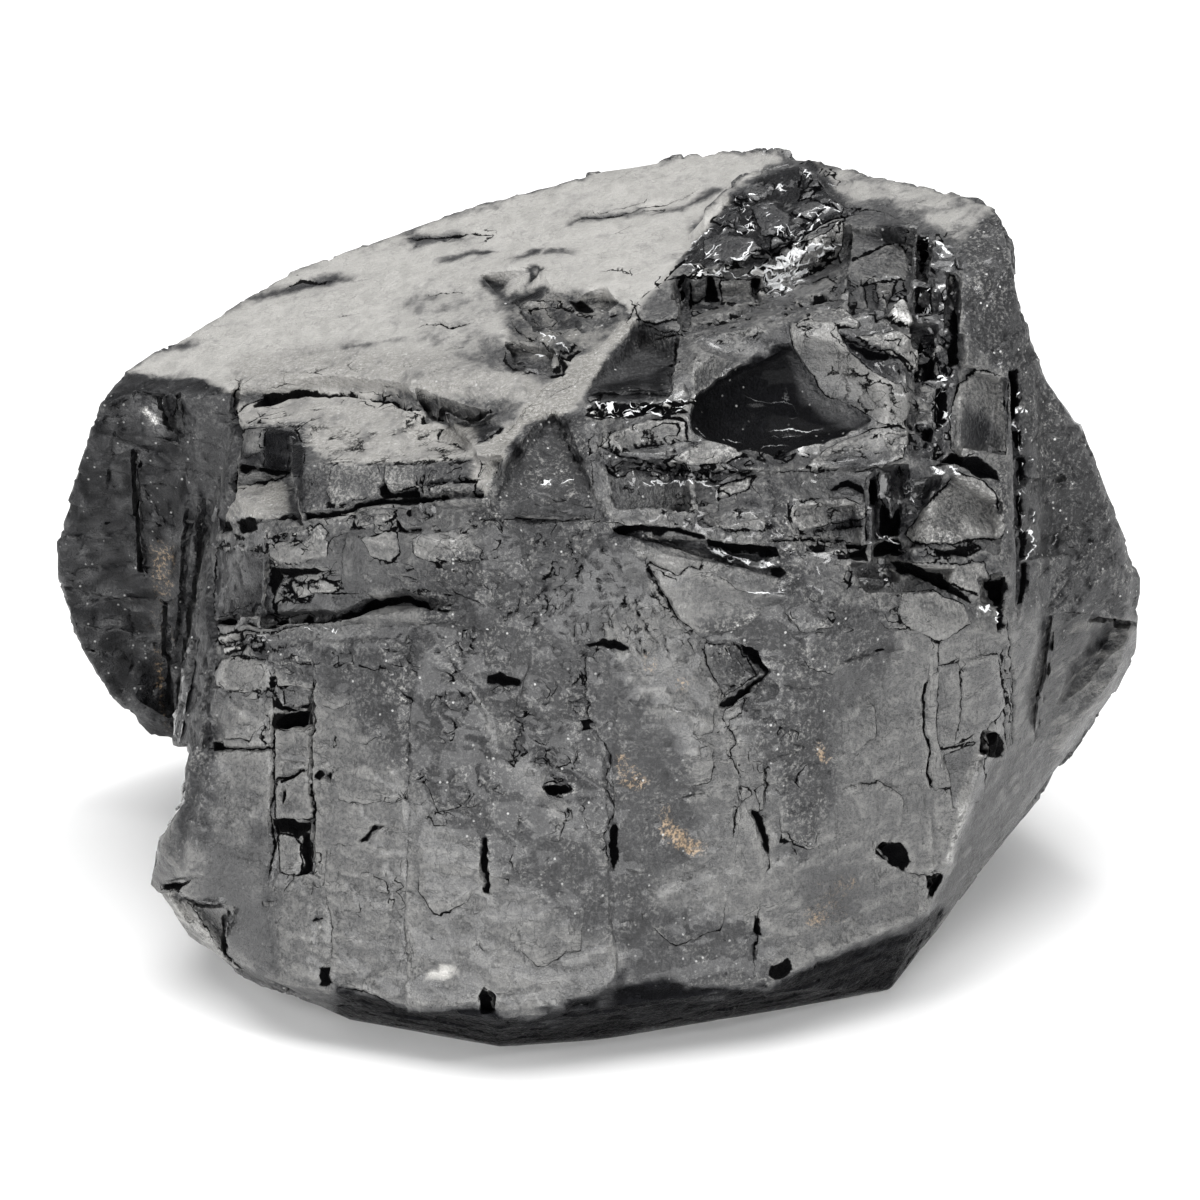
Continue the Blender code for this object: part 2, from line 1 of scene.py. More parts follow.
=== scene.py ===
# %% [markdown]
# # A lump of house coal
# Coal breaks in three ways at once. It parts along its bedding, so it has flat tops and thin ledges.
# It cracks upright along its cleats, so its faces are blocky. Its bright bands break like glass, into
# shells. The CAD solid has the large breaks. This lesson gives it the small ones, and its finish.

# %% Load the fixed frame
import math

import bmesh
import bpy
import numpy as np
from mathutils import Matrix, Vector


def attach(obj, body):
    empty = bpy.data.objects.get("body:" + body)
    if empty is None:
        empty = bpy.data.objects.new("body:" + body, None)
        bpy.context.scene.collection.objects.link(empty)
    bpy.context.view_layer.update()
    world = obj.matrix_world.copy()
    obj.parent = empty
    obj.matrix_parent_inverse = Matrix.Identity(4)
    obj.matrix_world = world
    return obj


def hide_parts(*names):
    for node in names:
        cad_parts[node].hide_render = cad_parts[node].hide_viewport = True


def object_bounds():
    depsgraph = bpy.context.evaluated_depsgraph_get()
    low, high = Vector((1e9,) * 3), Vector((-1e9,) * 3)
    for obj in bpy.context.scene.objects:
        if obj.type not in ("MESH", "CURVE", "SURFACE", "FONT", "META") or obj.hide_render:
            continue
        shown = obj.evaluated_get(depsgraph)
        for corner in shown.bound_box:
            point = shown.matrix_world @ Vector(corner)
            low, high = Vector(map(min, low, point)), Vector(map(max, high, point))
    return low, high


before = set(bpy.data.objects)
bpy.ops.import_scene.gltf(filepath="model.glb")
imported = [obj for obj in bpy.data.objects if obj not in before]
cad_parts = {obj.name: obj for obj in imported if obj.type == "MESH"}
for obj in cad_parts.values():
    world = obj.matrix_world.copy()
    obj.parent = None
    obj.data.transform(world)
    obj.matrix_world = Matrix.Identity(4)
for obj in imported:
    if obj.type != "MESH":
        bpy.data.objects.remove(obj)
cad_low, cad_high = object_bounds()
print("the solid runs from", list(cad_low), "to", list(cad_high))

# %% [markdown]
# ## An even skin
# Relief needs points close together everywhere, and a solid made of big facets has them only at its
# corners. Subdividing would keep its long thin triangles, so a voxel remesh is used: it lays small even
# squares over the same surface. The node is copied and its doubled points are merged first, and the
# work is done in millimetres, because the remesh and the thinning later on are steadier there.

# %% Copy the solid and lay even squares over it
MM = 0.001
SKIN_VOXEL = 0.24

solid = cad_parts["coal_lump"]
solid_mesh = solid.data.copy()
builder = bmesh.new()
builder.from_mesh(solid_mesh)
bmesh.ops.remove_doubles(builder, verts=builder.verts, dist=1e-6)
bmesh.ops.scale(builder, verts=builder.verts, vec=(1 / MM,) * 3)
builder.to_mesh(solid_mesh)
builder.free()


def applied(mesh, kind, **settings):
    """Puts one modifier on a mesh and returns the mesh that comes out of it."""
    holder = bpy.data.objects.new("holder", mesh)
    bpy.context.collection.objects.link(holder)
    group = settings.pop("group", None)
    if group is not None:
        picked = holder.vertex_groups.new(name="picked")
        picked.add(np.flatnonzero(~group).tolist(), 0.0, "REPLACE")
        picked.add(np.flatnonzero(group).tolist(), 1.0, "REPLACE")
        settings["vertex_group"] = "picked"
    modifier = holder.modifiers.new(kind, kind)
    for name, value in settings.items():
        setattr(modifier, name, value)
    seen = holder.evaluated_get(bpy.context.evaluated_depsgraph_get())
    result = bpy.data.meshes.new_from_object(seen)
    bpy.data.objects.remove(holder)
    return result


even = applied(solid_mesh, "REMESH", mode="VOXEL", voxel_size=SKIN_VOXEL)
print("even skin:", len(even.vertices), "points and", len(even.polygons), "squares")


# %% Read a mesh into whole arrays
def read(owner, name, width):
    """One attribute of all the points as an array with a row for each point."""
    values = np.empty(len(owner) * width, dtype=np.float32)
    owner.foreach_get(name, values)
    return values.reshape(-1, width) if width > 1 else values


def averaged(values, edges, rounds):
    """Each round gives a point the mean of its own value and those of its neighbours."""
    count = len(values)
    degree = np.bincount(edges.ravel(), minlength=count)[:, None] + 1
    for _ in range(rounds):
        total = values.copy()
        for k in range(values.shape[1]):
            total[:, k] += np.bincount(edges[:, 0], values[edges[:, 1], k], count)
            total[:, k] += np.bincount(edges[:, 1], values[edges[:, 0], k], count)
        values = total / degree
    return values


even_edges = np.empty(len(even.edges) * 2, dtype=np.int32)
even.edges.foreach_get("vertices", even_edges)
even_edges = even_edges.reshape(-1, 2)
points = read(even.vertices, "co", 3)
facing = averaged(read(even.vertices, "normal", 3), even_edges, 6)
facing /= np.linalg.norm(facing, axis=1, keepdims=True)
print("points span", points.min(0), points.max(0), "mm")

# %% [markdown]
# ## A drawing sheet in front of the lump
# The broken front is far too irregular for a formula, but each plate, ledge and crack on it has a simple
# outline. So the front is drawn: a sheet 120 mm wide stands upright to a line of sight from an eye point,
# x runs right and y runs down it in tenths of a millimetre, and each point of the skin is carried along
# its line of sight onto the sheet to read what is drawn there. A depth map tells which points the eye
# point can't see, and these keep to the patterns in space that come further down.

# %% Carry points along their lines of sight onto the sheet
SHEET = 1200
EYE_DISTANCE = 700.0
EYE_DOWN = math.radians(25)
LUMP_MIDDLE = np.array((0.381, 0.556, 30.2))
RIGHT = np.array((1.0, 0.0, 0.0))
AHEAD = np.array((0.0, math.cos(EYE_DOWN), -math.sin(EYE_DOWN)))
UP = np.array((0.0, math.sin(EYE_DOWN), math.cos(EYE_DOWN)))
EYE = LUMP_MIDDLE - AHEAD * EYE_DISTANCE


def on_sheet(places):
    """x and y on the sheet, and depth: sideways distance over distance ahead, times the sheet's distance."""
    away = places - EYE
    depth = away @ AHEAD
    x = SHEET / 2 + 10 * EYE_DISTANCE * (away @ RIGHT) / depth
    y = SHEET / 2 - 10 * EYE_DISTANCE * (away @ UP) / depth
    return x, y, depth


def seen_from_eye(places, outward, cell=5, slack=2.6):
    """1 where a point faces the eye point and no nearer point shares its cell of the sheet, 0 elsewhere."""
    x, y, depth = on_sheet(places)
    across = SHEET // cell + 1
    box = np.clip(x / cell, 0, across - 1).astype(int) + across * np.clip(y / cell, 0, across - 1).astype(int)
    nearest = np.full(across * across, np.inf)
    np.minimum.at(nearest, box, depth)
    toward = EYE - places
    toward /= np.linalg.norm(toward, axis=1, keepdims=True)
    turned = np.clip(((outward * toward).sum(1) - 0.03) / 0.12, 0, 1)
    return turned * (depth < nearest[box] + slack)


seen = averaged(seen_from_eye(points, facing)[:, None], even_edges, 2)[:, 0]
print("share of the skin that the sheet covers:", round(float((seen > 0.5).mean()), 3))

# %% [markdown]
# ## Patterns in space
# Broken coal repeats one thing at every size: small blocks, each with a flat face turned a little its own
# way. That is a cell pattern. Space is split into cells round scattered seeds, and each point takes a
# height from its own cell's tilted plane. It could come from a texture, but numpy gives the same cells to
# the shape and to the finish. The cells are turned to the bedding and are flat in it, as real blocks are.


# %% Scatter and noise for whole arrays of points
def hashed(cell, seed):
    """A repeatable whole number for each cell: its three numbers times large primes, mixed by shifts."""
    c = cell.astype(np.int64).astype(np.uint32)
    h = c[:, 0] * np.uint32(73856093) ^ c[:, 1] * np.uint32(19349663) ^ c[:, 2] * np.uint32(83492791)
    h = (h ^ np.uint32(seed * 2654435761 % 2**32)) * np.uint32(2246822519)
    h = (h ^ (h >> np.uint32(15))) * np.uint32(3266489917)
    return h ^ (h >> np.uint32(13))


def chance(number, turn):
    """A number from 0 to 1 drawn from a hashed one; each turn gives another."""
    h = (number ^ np.uint32(turn * 747796405 % 2**32)) * np.uint32(2891336453)
    return ((h ^ (h >> np.uint32(16))) & np.uint32(0xFFFFFF)).astype(np.float32) / np.float32(0xFFFFFF)


def swell(places, size, seed, octaves=1):
    """Smooth noise from -1 to 1: chance values on a grid of the given size, blended between its corners."""
    total, weight = np.zeros(len(places), dtype=np.float32), 0.0
    for octave in range(octaves):
        q = (places / (np.asarray(size, dtype=np.float32) * 0.5**octave)).astype(np.float32)
        low = np.floor(q)
        t = q - low
        t = t * t * (3 - 2 * t)
        value = np.zeros(len(places), dtype=np.float32)
        for corner in range(8):
            step = np.array((corner & 1, corner >> 1 & 1, corner >> 2), dtype=np.float32)
            share = np.prod(np.where(step > 0, t, 1 - t), axis=1)
            value += share * chance(hashed(low + step, seed + octave), 1)
        total += (value * 2 - 1) * 0.5**octave
        weight += 0.5**octave
    return total / weight


def blocks(places, size, seed, tilt=0.3, jump=1.0):
    """Cell pattern: (height, border, own number). Height is the cell's own level plus its plane's slope
    times the way from its seed; border is how much further the second nearest seed is than the first."""
    q = (places / np.asarray(size, dtype=np.float32)).astype(np.float32)
    low = np.floor(q)
    first = np.full(len(q), 9.0, dtype=np.float32)
    second = first.copy()
    own = np.zeros(len(q), dtype=np.uint32)
    way = np.zeros_like(q)
    for k in range(27):
        cell = low + np.array((k % 3 - 1, k // 3 % 3 - 1, k // 9 - 1), dtype=np.float32)
        number = hashed(cell, seed)
        seedling = np.stack([chance(number, turn) for turn in (1, 2, 3)], axis=1)
        d = cell + 0.1 + 0.8 * seedling - q
        far = (d * d).sum(1)
        nearer = far < first
        second = np.where(nearer, first, np.minimum(second, far))
        first = np.where(nearer, far, first)
        own = np.where(nearer, number, own)
        way[nearer] = d[nearer]
    slope = np.stack([chance(own, turn) for turn in (4, 5, 6)], axis=1) * 2 - 1
    height = jump * (chance(own, 7) * 2 - 1) + tilt * (slope * way).sum(1) * 2
    return height, np.sqrt(second) - np.sqrt(first), own


def shells(places, size, seed, lean=0.5, bowl=0.35):
    """Scallop pattern: the least, over nearby seeds, of a seed's own level plus its plane's slope times the
    way from it plus a bowl that grows with the way squared; shallow scoops that meet in sharp ridges."""
    q = (places / np.asarray(size, dtype=np.float32)).astype(np.float32)
    low = np.floor(q)
    least = np.full(len(q), 9.0, dtype=np.float32)
    for k in range(27):
        cell = low + np.array((k % 3 - 1, k // 3 % 3 - 1, k // 9 - 1), dtype=np.float32)
        number = hashed(cell, seed)
        d = q - cell - 0.1 - 0.8 * np.stack([chance(number, turn) for turn in (1, 2, 3)], axis=1)
        slope = np.stack([chance(number, turn) for turn in (4, 5, 6)], axis=1) * 2 - 1
        own = chance(number, 7) * 0.6 + lean * (slope * d).sum(1) + bowl * (d * d).sum(1)
        least = np.minimum(least, own)
    return least - float(least.mean())


# %% Turn space to the bedding and fold it a little
BEDDING_DIP = math.radians(12.8)
ALONG_DIP = np.array((0.0, math.cos(BEDDING_DIP), math.sin(BEDDING_DIP)))
ACROSS_BEDDING = np.array((0.0, -math.sin(BEDDING_DIP), math.cos(BEDDING_DIP)))
bedded = np.stack((points @ RIGHT, points @ ALONG_DIP, points @ ACROSS_BEDDING), axis=1).astype(np.float32)
fold = np.stack([swell(bedded, 6.0, seed, 3) for seed in (11, 12, 13)], axis=1)
folded = bedded + fold * np.array((0.9, 0.9, 0.35), dtype=np.float32)

large = blocks(folded, (9.0, 8.0, 3.4), 21, tilt=0.35)
middling = blocks(folded, (3.2, 2.8, 1.1), 22, tilt=0.5)
scallops = shells(folded, (5.0, 4.2, 3.6), 24)
facets = shells(folded, (1.5, 1.3, 1.0), 25, lean=0.8)
chips = shells(folded, (0.8, 0.7, 0.45), 26, lean=0.7)
print("block heights span", [round(float(np.ptp(b)), 2) for b in (large[0], middling[0], scallops, facets, chips)])

# %% [markdown]
# ## Pens for the sheet
# A drawn region is a polygon. The signed distance to its outline tells how far inside a place of the sheet is, and from
# that come flat plates, soft-edged stains, soft patches of painted shade and painted light, and bowls that deepen
# towards the middle. A crack is the distance to a bent line, and cracks and gaps are painted black as painted shade.
# The sheet's own places are shaken a little by noise first, so that every straight stroke comes out ragged, as a break
# in coal is.


# %% Cloudy noise on the sheet
def cloud(size, seed, octaves=2):
    """Smooth noise from -1 to 1 on the sheet: a small grid of chance values spread over the rows and then
    over the columns by smooth weights, as two matrix products, and added up over finer grids."""
    total, weight = np.zeros((SHEET, SHEET), dtype=np.float32), 0.0
    across, down = (size, size) if np.isscalar(size) else size
    for octave in range(octaves):
        spread = []
        for length in (down, across):
            q = np.arange(SHEET, dtype=np.float32) / (length * 0.5**octave)
            low = q.astype(int)
            t = q - low
            t = t * t * (3 - 2 * t)
            weights = np.zeros((SHEET, low[-1] + 2), dtype=np.float32)
            weights[np.arange(SHEET), low] = 1 - t
            weights[np.arange(SHEET), low + 1] = t
            spread.append(weights)
        grid = np.random.default_rng(seed + octave).uniform(-1, 1, (spread[0].shape[1], spread[1].shape[1]))
        total += (spread[0] @ grid.astype(np.float32) @ spread[1].T) * 0.5**octave
        weight += 0.5**octave
    return total / weight


row_of, column_of = np.mgrid[0:SHEET, 0:SHEET].astype(np.float32)
shaken_x = column_of + 5.0 * cloud(34, 31, 3) + 1.6 * cloud(5, 32, 2)
shaken_y = row_of + 5.0 * cloud(34, 33, 3) + 1.6 * cloud(5, 34, 2)

crack_wander = cloud(9, 35, 2)
# Besides heights and the coal's own tone, gloss, dust and rust, these layers hold painted light: darker tone for
# painted shade, lighter tone for painted highlights, the black of gaps and seams as painted shade, thin bright lines as
# painted glints, and a clay film that on the top is also a painted sheen.
layers = {
    name: np.full((SHEET, SHEET), start, dtype=np.float32)
    for name, start in {
        "height": 0.0,
        "tone": 0.5,
        "polish": 0.05,
        "gap": -10.0,
        "seam_shade": 20.0,
        "seam_shade_near": 0.0,
        "seam_shade_wide": 0.0,
        "painted_glint": 20.0,
        "painted_glint_near": 0.0,
        "painted_glint_wide": 0.0,
        "dust": 0.0,
        "rust": 0.0,
        "large": 0.0,
        "middling": 0.3,
        "small": 0.4,
        "shell": 0.0,
        "grit": 0.1,
        "ease": 0.0,
    }.items()
}


# %% Distances on the sheet
def corners(text):
    """A drawn line as an array: "x,y x,y" in tenths of a millimetre. An array stays as it is."""
    return text if isinstance(text, np.ndarray) else np.array([[float(v) for v in pair.split(",")] for pair in text.split()], dtype=np.float32)


def window(line, margin):
    """The part of the sheet that holds a line and a margin round it."""
    low = np.clip(line.min(0) - margin, 0, SHEET - 1).astype(int)
    high = np.clip(line.max(0) + margin, 1, SHEET).astype(int)
    return slice(low[1], high[1]), slice(low[0], high[0])


def distance(line, part, closed):
    """Distance to the nearest stretch of a line: the length of what is left of the way to a stretch's
    start once its share along the stretch is taken off. It counts as positive inside a closed line, and
    on the right of an open one."""
    x, y = shaken_x[part], shaken_y[part]
    nearest = np.full(x.shape, 1e9, dtype=np.float32)
    along = np.zeros_like(nearest)
    side = np.ones_like(nearest)
    inside = np.zeros(x.shape, dtype=bool)
    ends = np.roll(line, -1, axis=0) if closed else line[1:]
    length = 0.0
    for (ax, ay), (bx, by) in zip(line, ends):
        reach = float(np.hypot(bx - ax, by - ay)) + 1e-6
        t = np.clip(((x - ax) * (bx - ax) + (y - ay) * (by - ay)) / reach**2, 0, 1)
        d = np.hypot(x - ax - t * (bx - ax), y - ay - t * (by - ay))
        closer = d < nearest
        nearest = np.where(closer, d, nearest)
        along = np.where(closer, length + t * reach, along)
        side = np.where(closer, np.where((bx - ax) * (y - ay) > (by - ay) * (x - ax), 1, -1), side)
        length += reach
        if closed:
            inside ^= ((ay > y) != (by > y)) & (x < (bx - ax) * (y - ay) / (by - ay + 1e-9) + ax)
    return nearest * (np.where(inside, 1, -1) if closed else side), along / length


def smooth(value, low, high):
    """0 below low, 1 above high, and an S-shaped way between."""
    t = np.clip((value - low) / (high - low), 0, 1)
    return t * t * (3 - 2 * t)


def paint(part, mask, **values):
    """Carries each named layer towards a value, by the mask."""
    for name, value in values.items():
        layers[name][part] += (value - layers[name][part]) * mask


def thin_line(kind, part, d, wide):
    """A line for the finish: a dark seam, painted shade along a crack too fine for the mesh, or a bright painted glint.
    What is kept is the signed distance to the line and not the line itself: it runs evenly through nought from one side
    to the other, so points that stand further apart than the line is wide still give a sharp line between them."""
    closer = np.abs(d) < np.abs(layers[kind][part])
    near = np.clip(1 - np.abs(d) / 10, 0, 1)
    for name, value in ((kind, d), (kind + "_wide", wide), (kind + "_near", near)):
        layers[name][part] = np.where(closer, value, layers[name][part])


def opened(part, d):
    """Gaps painted black, as painted shade, are kept the same way, as the distance inside the nearest gap's outline."""
    layers["gap"][part] = np.maximum(layers["gap"][part], np.clip(d, -10, 10))


def covered_over(part, d):
    """A new piece hides the gaps and thin lines that it lies on."""
    layers["gap"][part] = np.minimum(layers["gap"][part], np.maximum(-d, -10))
    for name, value in (("seam_shade", 20.0), ("seam_shade_near", 0.0), ("painted_glint", 20.0), ("painted_glint_near", 0.0)):
        layers[name][part] = np.where(d > 1, value, layers[name][part])


# %% The pens
def region(text, soft=6.0, **values):
    """Sets values over a region, fading at its outline: finish and roughness, and in many regions painted shade and
    painted light in the tone.
    """
    line = corners(text)
    part = window(line, soft + 12)
    d, _ = distance(line, part, True)
    paint(part, smooth(d, -soft / 2, soft / 2), **values)


def plate(text, lift=0.0, right=0.0, down=0.0, rim=0.15, keep=0.0, **values):
    """A flat piece: inside the outline the height is a plane, lifted in mm and leaning in mm for each 10 mm to the
    right and down; a fine crack of the rim's depth runs round it, with a dark line of painted shade along it."""
    line = corners(text)
    part = window(line, 14)
    d, _ = distance(line, part, True)
    mask = smooth(d, -1.2, 1.2)
    middle = line.mean(0)
    plane = lift + (right * (column_of[part] - middle[0]) + down * (row_of[part] - middle[1])) / 100
    height = layers["height"][part]
    height += (plane - height * (1 - keep)) * mask
    height -= rim * np.exp(-((d / 1.6) ** 2))
    paint(part, mask, **values)
    covered_over(part, d)
    if rim > 0:
        thin_line("seam_shade", part, d, (0.5 + 2.8 * rim) * (0.75 + 1.2 * crack_wander[part]))


def opening_with_painted_shade(text, deep=1.2, **values):
    """A gap with steep walls, painted black as painted shade: full depth a millimetre in from its outline, or where it
    is widest.
    """
    line = corners(text)
    part = window(line, 14)
    d, _ = distance(line, part, True)
    wall = smooth(d, -1.5, min(7.0, max(float(d.max()), 2.0)))
    layers["height"][part] -= deep * wall
    paint(part, smooth(d, -2.0, 1.5), polish=0.3, small=0.8, **values)
    opened(part, d)


def bowl(text, deep, ripple=0.0, spread=30.0, **values):
    """A shell-shaped scoop: depth follows a quarter circle inwards from the outline over the spread, with
    faint rings at even steps of the distance."""
    line = corners(text)
    part = window(line, 14)
    d, _ = distance(line, part, True)
    inward = np.clip(d / spread, 0, 1)
    layers["height"][part] -= deep * np.sqrt(1 - (1 - inward) ** 2)
    layers["height"][part] -= ripple * np.sin(d * 0.7) * smooth(d, 0, 8)
    paint(part, smooth(d, -1.5, 1.5), **values)


def crack(text, wide=2.0, deep=0.5, crack_shade=1.0, taper=0.35):
    """A crack: a V that narrows to its ends and whose width wanders along it, with a dark hairline of painted shade
    along it. A dark share below 0.3 leaves out its hairline."""
    line = corners(text)
    part = window(line, wide + 12)
    d, along = distance(line, part, False)
    width = wide * (0.7 + 0.5 * crack_wander[part]) * smooth(np.minimum(along, 1 - along), -0.08, taper)
    edge = np.clip(1 - np.abs(d) / np.maximum(width, 0.4), 0, 1)
    layers["height"][part] -= deep * edge**0.7 * np.clip(width / 1.5, 0.3, 1)
    if crack_shade > 0.3:
        thin_line("seam_shade", part, d, width * 0.42 * crack_shade)


def flake(text, lift, toward, **values):
    """A low flake: flush on one side and lifted on the other, where a fine crack, drawn as a dark line of painted
    shade, marks its step. The ramp is the way from the middle along the toward direction over the flake's own reach."""
    line = corners(text)
    part = window(line, 14)
    d, _ = distance(line, part, True)
    middle, reach = line.mean(0), float(np.ptp(line, axis=0).max()) / 2
    over = (column_of[part] - middle[0]) * toward[0] + (row_of[part] - middle[1]) * toward[1]
    ramp = np.clip(0.5 + 0.5 * over / reach, 0, 1)
    mask = smooth(d, -1.0, 1.0)
    layers["height"][part] += lift * mask * ramp - 0.12 * np.exp(-((d / 1.4) ** 2)) * ramp**2
    paint(part, mask * ramp, **values)
    thin_line("seam_shade", part, d, 0.9 * ramp**2 * (0.8 + 0.8 * crack_wander[part]) - 0.1)


def ridge(text, wide=3.0, high=0.2, painted_glint_share=0.0, **values):
    """A thin raised lip: a bell across the line, fading at both ends. Its crest gets a painted glint, a bright line
    whose width is the given share of the lip's."""
    line = corners(text)
    part = window(line, wide * 2 + 12)
    d, along = distance(line, part, False)
    fade = smooth(np.minimum(along, 1 - along), -0.05, 0.2)
    bell = np.exp(-((d / wide) ** 2)) * fade
    layers["height"][part] += high * bell
    paint(part, bell, **values)
    if painted_glint_share > 0:
        thin_line("painted_glint", part, d, painted_glint_share * wide * fade * (0.7 + 0.9 * crack_wander[part]))


def scattered(text, count, seed):
    """Chance places inside an outline, and the random source that drew them. A place is inside when a line
    from it to the right crosses the outline an odd number of times."""
    line, random = corners(text), np.random.default_rng(seed)
    spots = random.uniform(line.min(0), line.max(0), (count * 5, 2))
    x, y = spots[:, :1], spots[:, 1:]
    ends = np.roll(line, -1, axis=0)
    rise = ends[:, 1] - line[:, 1] + 1e-9
    crossed = ((line[:, 1] > y) != (ends[:, 1] > y)) & (x < (ends[:, 0] - line[:, 0]) * (y - line[:, 1]) / rise + line[:, 0])
    return spots[crossed.sum(1) % 2 == 1][:count], random


def painted_glints(text, count, seed, slant=0.0, reach=4.0, high=0.15, painted_glint_share=0.7, **values):
    """Short raised lips scattered over an outline, near one slant in degrees, each with a painted glint along its
    crest.
    """
    spots, random = scattered(text, count, seed)
    for spot in spots:
        turn = math.radians(slant + random.uniform(-25, 25))
        way = np.array((math.cos(turn), math.sin(turn))) * reach * random.uniform(0.4, 1.2)
        side = np.array((-way[1], way[0])) * random.uniform(-0.3, 0.3)
        ridge(np.stack((spot - way, spot + side, spot + way)).astype(np.float32), random.uniform(0.6, 1.3),
              high * random.uniform(0.5, 1.5), painted_glint_share=painted_glint_share, **{"polish": 0.9, **values})


def flakes(text, count, seed, size=14.0, slant=0.0, squat=0.5, lift=0.2, tone=(0.3, 0.6)):
    """Low flakes scattered over an outline, each lifted on a side of its own."""
    spots, random = scattered(text, count, seed)
    for spot in spots:
        turns = np.sort(random.uniform(0, 2 * math.pi, random.integers(5, 9)))
        line = oval(spot, turns, size * random.uniform(0.4, 1.3), squat, slant + random.uniform(-25, 25))
        toward = random.uniform(0, 2 * math.pi)
        flake(line, lift * random.uniform(0.4, 1.3), (math.cos(toward), math.sin(toward)), tone=random.uniform(*tone),
              small=random.uniform(0.2, 0.9))


def strata(text, count, seed, slant=0.0, reach=22.0, wide=1.1, deep=0.12):
    """Long fine cracks scattered over an outline, all near one slant, as where thin layers part."""
    spots, random = scattered(text, count, seed)
    for spot in spots:
        turn = math.radians(slant + random.uniform(-7, 7))
        way = np.array((math.cos(turn), math.sin(turn))) * reach * random.uniform(0.4, 1.2)
        side = np.array((-way[1], way[0]))
        bends = random.uniform(-0.14, 0.14, 2)
        line = np.stack((spot - way, spot - way / 3 + side * bends[0], spot + way / 3 + side * bends[1], spot + way))
        crack(line.astype(np.float32), wide * random.uniform(0.6, 1.4), deep, crack_shade=random.uniform(0.5, 1.0), taper=0.4)


def oval(spot, turns, reach, squat, slant):
    """Corners on an ellipse round a spot, at the given turns; squat is its narrow reach over its long one."""
    round_it = np.stack((np.cos(turns) * reach, np.sin(turns) * reach * squat), axis=1)
    turn = math.radians(slant)
    turned = round_it @ np.array(((math.cos(turn), math.sin(turn)), (-math.sin(turn), math.cos(turn))))
    return (spot + turned).astype(np.float32)


def smudges(text, count, seed, size=8.0, slant=90.0, squat=0.5, soft=4.0, **ranges):
    """Soft patches scattered over an outline, near one slant. Each draws its own values from the ranges."""
    spots, random = scattered(text, count, seed)
    turns = np.arange(8) * math.pi / 4
    for spot in spots:
        line = oval(spot, turns, size * random.uniform(0.5, 1.3), squat, slant + random.uniform(-15, 15))
        region(line, soft, **{name: random.uniform(*span) for name, span in ranges.items()})


def splinters(text, count, seed, size=9.0, slant=0.0, squat=0.5, tone=(0.1, 0.7), polish=(0.2, 1.0), lift=0.15):
    """Small broken plates scattered over an outline. Each has four to six corners on an ellipse, at the
    given slant, and leans, shines and reflects its own way."""
    spots, random = scattered(text, count, seed)
    for spot in spots:
        turns = np.sort(random.uniform(0, 2 * math.pi, random.integers(4, 7)))
        line = oval(spot, turns, size * random.uniform(0.5, 1.3), squat, slant + random.uniform(-18, 18))
        plate(line, lift * random.uniform(0.2, 1.3), *random.uniform(-2.2, 2.2, 2),
              rim=0.12, tone=random.uniform(*tone), polish=random.uniform(*polish), small=random.uniform(0.2, 0.9))


print("the sheet is", SHEET / 10, "mm wide and holds", len(layers), "layers")

# %% [markdown]
# ## The top
# The top is one bedding plane: nearly flat, smooth, and pale with a film of clay, with thin dark seams in it. The clay
# film is laid on thickly and its tone set high, so that it is also a painted sheen, the pale light that a bedding plane
# gives back at a low angle. The first regions only set how rough and how pale each part is. A sandy band runs down its
# near edge.

# %% Draw the top
# Painted sheen: the top's high tone and heavy clay film paint it paler than its clay alone.
region("95,372 200,320 240,295 290,258 380,226 440,203 540,171 600,158 700,140 790,142 775,172 740,185 "
       "716,217 690,246 660,285 640,318 600,366 520,350 470,330 440,350 370,398 237,392 180,402 105,395",
       tone=0.68, dust=0.86, large=0.0, middling=0.10, small=0.16, polish=0.08, grit=0.1)
for streak, width in (("250,300 280,290 320,284 352,276", 5), ("300,288 330,280 360,278", 3), ("404,240 440,236 470,233", 5),
                      ("500,262 540,252 580,250", 3), ("560,228 610,214 650,206", 3), ("640,216 690,200 730,186", 2.4),
                      ("120,360 160,348 196,344", 3), ("440,262 470,252 496,250", 2.4), ("330,352 380,340 440,336", 2.0),
                      ("230,380 270,370 330,366", 2.4), ("420,300 450,290 480,288", 3), ("470,420 520,404 556,392", 2.0)):
    ridge(streak, width, -0.06, tone=0.22, dust=0.12)
region("808,160 835,166 880,170 960,186 1010,200 1012,214 970,244 930,228 884,204 850,196 826,182",
       tone=0.6, dust=0.55, large=0.1, middling=0.4, small=0.7)
region("395,350 400,300 450,272 500,266 525,296 500,340 452,352", soft=40, tone=0.56, dust=0.64, small=0.5,
       middling=0.4)
region("230,360 330,346 420,350 520,372 560,392 520,404 420,396 300,386 232,384", soft=16, tone=0.6, dust=0.7, grit=0.6,
       small=0.4)
region("404,366 520,366 530,420 500,452 404,452", soft=12, ease=1.0)
region("490,420 540,400 600,405 606,520 500,524", soft=12, ease=0.7)
region("576,400 620,316 690,326 690,400", soft=12, ease=0.6)
strata("232,366 330,350 520,376 480,408 420,398 240,388", 34, 380, slant=-4, reach=22.0, wide=0.8, deep=0.05)
strata("330,432 440,424 486,452 420,462 330,464", 26, 381, slant=2, reach=26.0, wide=0.8, deep=0.05)
strata("200,330 300,280 440,230 600,190 700,180 640,250 480,300 300,340", 22, 382, slant=-12, reach=26.0, wide=0.7, deep=0.04)
region("500,300 545,286 600,292 636,312 600,352 560,372 520,366 506,330", soft=8, tone=0.5, dust=0.3, small=0.8,
       middling=0.4, polish=0.1, grit=0.8)
